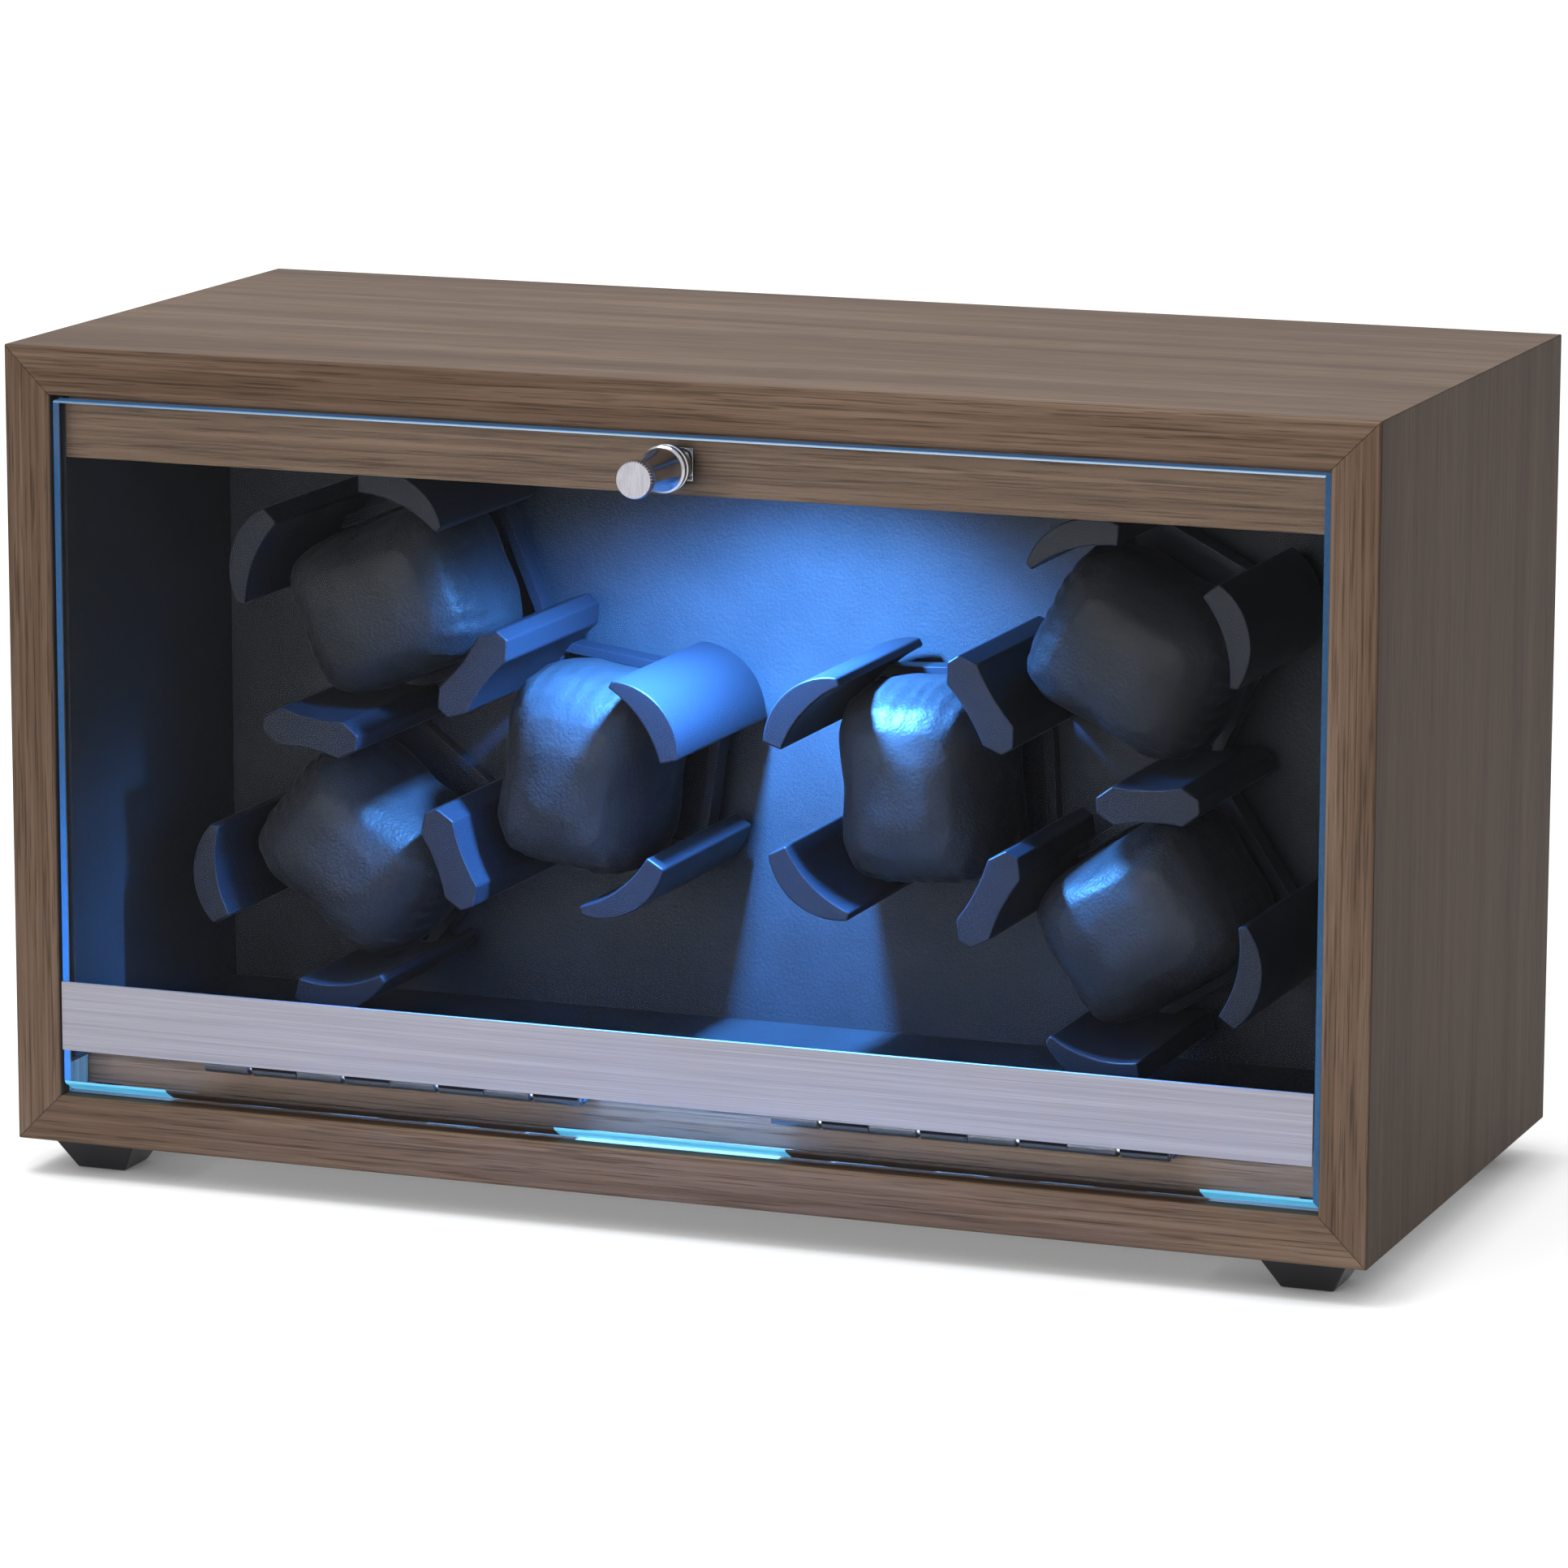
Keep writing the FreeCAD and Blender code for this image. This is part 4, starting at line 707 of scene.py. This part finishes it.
# Pull knob: a turned and chromed knob with two collar rings, a waisted neck and a knurled rim.
# Its screw comes through the glass from behind. The profile is reach from the glass and radius, in mm.
KNOB_SEGMENTS = 152
KNOB_PROFILE = (
    (0.0, 5.2), (0.35, 5.7), (1.35, 5.7), (1.6, 5.35), (2.0, 5.35), (2.25, 5.7), (3.6, 5.7), (4.0, 5.3),
    (4.4, 5.0), (6.5, 4.62), (9.0, 4.22), (12.0, 4.02), (15.0, 3.98), (17.6, 4.05), (18.7, 4.12),
    (19.05, 4.25), (19.4, 4.4), (19.7, 4.66), (21.5, 4.66), (22.0, 4.3),
)
KNURLS = 38
KNURL_DEPTH = 0.36 * MM
KNURL_START = 19.6
KNURL_END = 21.6
knob_low, knob_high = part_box("door_knob")
knob_middle = (knob_low + knob_high) / 2
knob_foot = knob_high.y
chrome = varied("dark_chrome", (0.46, 0.46, 0.48, 1), 0.16, (60.0, 2400.0, 60.0),
                gloss=(0.12, 0.26), metallic=1.0)
satin_face = varied("satin_knob_face", (0.68, 0.68, 0.69, 1), 0.36, (2600.0, 60.0, 260.0), rough=0.7,
                    gloss=(0.28, 0.48), tones=((0.35, 0.345, 0.38, 1), (0.51, 0.50, 0.55, 1)),
                    relief=(0.15, 0.05 * MM), metallic=1.0)

knob_shape = bmesh.new()
rings = []
for reach, radius in KNOB_PROFILE:
    knurl_depth = KNURL_DEPTH if KNURL_START < reach < KNURL_END else 0.0
    ring = []
    for step in range(KNOB_SEGMENTS):
        angle = 2 * math.pi * step / KNOB_SEGMENTS
        out = radius * MM - knurl_depth * (1 + math.cos(KNURLS * angle)) / 2
        ring.append(knob_shape.verts.new((knob_middle.x + out * math.cos(angle), knob_foot - reach * MM,
                                          knob_middle.z + out * math.sin(angle))))
    rings.append(ring)
for first, second in zip(rings, rings[1:]):
    for step in range(KNOB_SEGMENTS):
        knob_shape.faces.new((first[step - 1], first[step], second[step], second[step - 1]))
for ring, index in ((rings[0], 0), (rings[-1], 1)):
    knob_shape.faces.new(ring).material_index = index
bmesh.ops.recalc_face_normals(knob_shape, faces=knob_shape.faces)
make_piece(knob_shape, "door_knob_turned", [chrome, satin_face], "door", "knob", "door_knob")

# Piano hinges: black painted steel leaves whose knuckles turn on a bright pin.
# Their screws hold the lower leaf to the floor board. All other screws are of the same plain steel.
HINGE_EASE = 0.14 * MM
SCREW_EASE = 0.2 * MM
hinge_paint = varied("hinge_paint", (0.018, 0.020, 0.028, 1), 0.3, 1200.0, detail=2.0,
                     gloss=(0.22, 0.4), relief=(0.1, 0.06 * MM))
for side in ("left", "right"):
    for leaf in ("door", "frame"):
        eased("%s_hinge_%s_leaf" % (side, leaf), HINGE_EASE, hinge_paint, "hinge")

steel = varied("plain_steel", (0.58, 0.58, 0.60, 1), 0.3, 700.0,
               gloss=(0.22, 0.42), tones=(grey(0.46), grey(0.66)), metallic=1.0)
for node in ("hinge_pins", "hinge_screws", "knob_screw", "foot_screws", "bracket_screws",
             "back_panel_screws"):
    eased(node, SCREW_EASE, steel, "steel")

# Feet: tapered blocks of glossy black plastic, one under each corner.
# Each is moulded in one piece with soft edges and held to the case by a screw.
FOOT_EASE = 0.6 * MM
FOOT_EASE_SEGMENTS = 3
foot_plastic = varied("foot_plastic", (0.010, 0.010, 0.012, 1), 0.22, 160.0,
                      gloss=(0.16, 0.32), relief=(0.06, 0.1 * MM))
for depth in ("front", "back"):
    for side in ("left", "right"):
        eased("%s_%s_foot" % (depth, side), FOOT_EASE, foot_plastic, "foot", FOOT_EASE_SEGMENTS)

# Back panel and controls: a black faced board, screwed to cleats in the case's corners.
# It carries two mode knobs, a rocker for the lamp and a power jack, with a circuit board behind them.
BACK_EASE = 0.3 * MM
CONTROL_EASE = 0.2 * MM
back_face = varied("back_panel_face", (0.022, 0.022, 0.024, 1), 0.6, 520.0, detail=4.0,
                   gloss=(0.5, 0.72), relief=(0.25, 0.12 * MM))
eased("back_panel", BACK_EASE, back_face, "back_board")
control_plastic = varied("control_plastic", (0.024, 0.024, 0.026, 1), 0.4, 1800.0, detail=2.0,
                         gloss=(0.32, 0.5), relief=(0.12, 0.06 * MM))
for node in ("left_mode_knob", "right_mode_knob", "lamp_rocker", "rocker_frame", "power_jack",
             "mode_switches"):
    eased(node, CONTROL_EASE, control_plastic, "switch")
green_board = varied("circuit_board_lacquer", (0.02, 0.13, 0.055, 1), 0.3, 900.0, detail=2.0,
                     gloss=(0.24, 0.4), tones=((0.014, 0.095, 0.04, 1), (0.028, 0.16, 0.07, 1)))
eased("control_board", CONTROL_EASE, green_board, "circuit_board")

# Drive behind the motor board: steel shafts in brass bushes, acetal gears and two gear motors.
# The motors sit on plated brackets and the board is raw fibreboard. Each row gives the easing in mm.
raw_board = varied("raw_fibreboard", (0.36, 0.25, 0.155, 1), 0.75, 600.0, detail=5.0, rough=0.7,
                   tones=((0.27, 0.18, 0.11, 1), (0.44, 0.32, 0.21, 1)), relief=(0.2, 0.1 * MM))
acetal = varied("natural_acetal", (0.74, 0.71, 0.62, 1), 0.35, 120.0,
                tones=((0.68, 0.65, 0.56, 1), (0.80, 0.77, 0.69, 1)))
brass = varied("turned_brass", (0.66, 0.48, 0.20, 1), 0.25, (60.0, 1800.0, 60.0),
               gloss=(0.18, 0.36), metallic=1.0)
zinc, shader = new_finish("zinc_plate", (0.50, 0.51, 0.53, 1), 0.38, metallic=1.0)
spangle = put(zinc, "TexVoronoi", {"Vector": stretched(zinc, 220.0), "Scale": 1.0})
rough_between(zinc, shader, spangle.outputs["Distance"], low=0.3, high=0.5)
DRIVE_FINISHES = (
    (("motor_board", "back_panel_cleats"), raw_board, "board", 0.3),
    (("left_drive_gear", "right_drive_gear", "left_pinion", "right_pinion"), acetal, "gear", 0.12),
    (("shaft_bushes",), brass, "bush", 0.15),
    (("left_shaft", "right_shaft"), steel, "steel", 0.3),
    (("left_motor_bracket", "right_motor_bracket"), zinc, "steel", 0.2),
    (("left_motor", "right_motor"), zinc, "motor", 0.4),
    (("catch_magnet",), chrome, "magnet", 0.25),
)
for nodes, material, slot, ease in DRIVE_FINISHES:
    for node in nodes:
        eased(node, ease * MM, material, slot)

# Stage: a white paper floor and surround, shown at full white to the camera, to mirrors and through glass.
# A large lamp stands at the upper left and a weak one in front. The box's own lamp leaves the floor out.
FLOOR_SIZE = 60.0
PAPER_GREY = 0.42
CONTACT_REACH = 17.0 * MM
GLOW_NEAR, GLOW_FAR = 0.84, 0.92
GLOW_START, GLOW_END = 0.2, 0.9
SURROUND_LIGHT = 0.21


def seen_directly(material):
    """1 for what the camera sees, mirrored or through glass too, and 0 for light on rough surfaces."""
    path = put(material, "LightPath", {})
    seen = sums(material, "MAXIMUM", path.outputs["Is Camera Ray"], path.outputs["Is Glossy Ray"])
    seen = sums(material, "MAXIMUM", seen, path.outputs["Is Transmission Ray"])
    unscattered = sums(material, "LESS_THAN", path.outputs["Diffuse Depth"], 0.5)
    return sums(material, "MULTIPLY", seen, unscattered)


floor_shape = bmesh.new()
bmesh.ops.create_grid(floor_shape, x_segments=1, y_segments=1, size=FLOOR_SIZE / 2)
floor_mesh = bpy.data.meshes.new("floor")
floor_shape.to_mesh(floor_mesh)
floor_shape.free()
floor = bpy.data.objects.new("floor", floor_mesh)
bpy.context.scene.collection.objects.link(floor)
floor_white = bpy.data.materials.new("floor_white")
floor_white.use_nodes = True
floor_nodes = floor_white.node_tree.nodes
floor_nodes.remove(floor_nodes["Principled BSDF"])
paper = put(floor_white, "BsdfDiffuse", {"Color": grey(PAPER_GREY)})
place = put(floor_white, "TexCoord", {})
away = put(floor_white, "VectorMath", {0: place.outputs["Object"]}, operation="LENGTH")
rising = put(floor_white, "MapRange", {
    "Value": away.outputs["Value"], "From Min": GLOW_START, "From Max": GLOW_END,
    "To Min": GLOW_NEAR, "To Max": GLOW_FAR,
})
# Painted shade: ambient occlusion darkens the floor's glow close under and beside the box, standing for its
# contact shadow.
painted_contact_shade = put(floor_white, "AmbientOcclusion", {"Distance": CONTACT_REACH}, samples=4)
glow_with_painted_shade = sums(floor_white, "MULTIPLY", rising.outputs[0], painted_contact_shade.outputs["AO"])
glow = put(floor_white, "Emission", {"Color": grey(1.0), "Strength": glow_with_painted_shade})
both = put(floor_white, "AddShader", {0: paper.outputs[0], 1: glow.outputs[0]})
choice = put(floor_white, "MixShader", {
    0: seen_directly(floor_white), 1: paper.outputs[0], 2: both.outputs[0],
})
feed(floor_white, choice.outputs[0], floor_nodes["Material Output"], "Surface")
floor_mesh.materials.append(floor_white)
unlit = bpy.data.collections.new("out_of_the_lamp_light")
unlit.objects.link(floor)
lamp_object.light_linking.receiver_collection = unlit
unlit.collection_objects[0].light_linking.link_state = "EXCLUDE"

world = bpy.data.worlds.new("studio")
world.use_nodes = True
bpy.context.scene.world = world
surround = world.node_tree.nodes["Background"]
surround.inputs["Color"].default_value = grey(1.0)
strength = put(world, "MapRange", {"Value": seen_directly(world), "To Min": SURROUND_LIGHT, "To Max": 1.0})
feed(world, strength.outputs[0], surround, "Strength")


def studio_lamp(name, place, aim, width, height, watts):
    light = bpy.data.lights.new(name, "AREA")
    light.shape = "RECTANGLE"
    light.size = width
    light.size_y = height
    light.energy = watts
    stand = bpy.data.objects.new(name, light)
    stand.location = place
    stand.rotation_euler = (Vector(aim) - Vector(place)).to_track_quat("-Z", "Y").to_euler()
    bpy.context.scene.collection.objects.link(stand)
    return stand


studio_lamp("upper_left_lamp", place=(-0.5, -0.35, 2.3), aim=(0, 0, 0.12), width=1.4, height=1.0, watts=46.0)
front_lamp = studio_lamp("front_lamp", place=(-0.3, -2.2, 0.4), aim=(0, 0, 0.1), width=1.2, height=0.7,
                         watts=34.0)
front_lamp.visible_glossy = False

# Camera: at the photograph's viewing angle, with a long lens and no shift.
# Its place, its turn and its slight roll were solved from the edges of the case.
CAMERA_PLACE = (0.6206, -1.6274, 0.4463)
CAMERA_AZIMUTH = math.radians(20.77)
CAMERA_ELEVATION = math.radians(11.27)
CAMERA_ROLL = math.radians(0.15)
SENSOR_WIDTH = 36.0
LENS_LENGTH = 164.5
SIGHT = 200.0
camera = bpy.data.cameras.new("camera")
camera.sensor_width = SENSOR_WIDTH
camera.lens = LENS_LENGTH
camera.clip_end = SIGHT
camera_object = bpy.data.objects.new("camera", camera)
back = Vector((math.sin(CAMERA_AZIMUTH) * math.cos(CAMERA_ELEVATION),
               -math.cos(CAMERA_AZIMUTH) * math.cos(CAMERA_ELEVATION), math.sin(CAMERA_ELEVATION)))
level = Vector((math.cos(CAMERA_AZIMUTH), math.sin(CAMERA_AZIMUTH), 0))
rise = back.cross(level)
right = level * math.cos(CAMERA_ROLL) + rise * math.sin(CAMERA_ROLL)
up = rise * math.cos(CAMERA_ROLL) - level * math.sin(CAMERA_ROLL)
camera_turn = Matrix((right, up, back)).transposed().to_4x4()
camera_object.matrix_world = Matrix.Translation(CAMERA_PLACE) @ camera_turn
bpy.context.scene.collection.objects.link(camera_object)
bpy.context.scene.camera = camera_object
bpy.context.scene.view_settings.view_transform = "Standard"
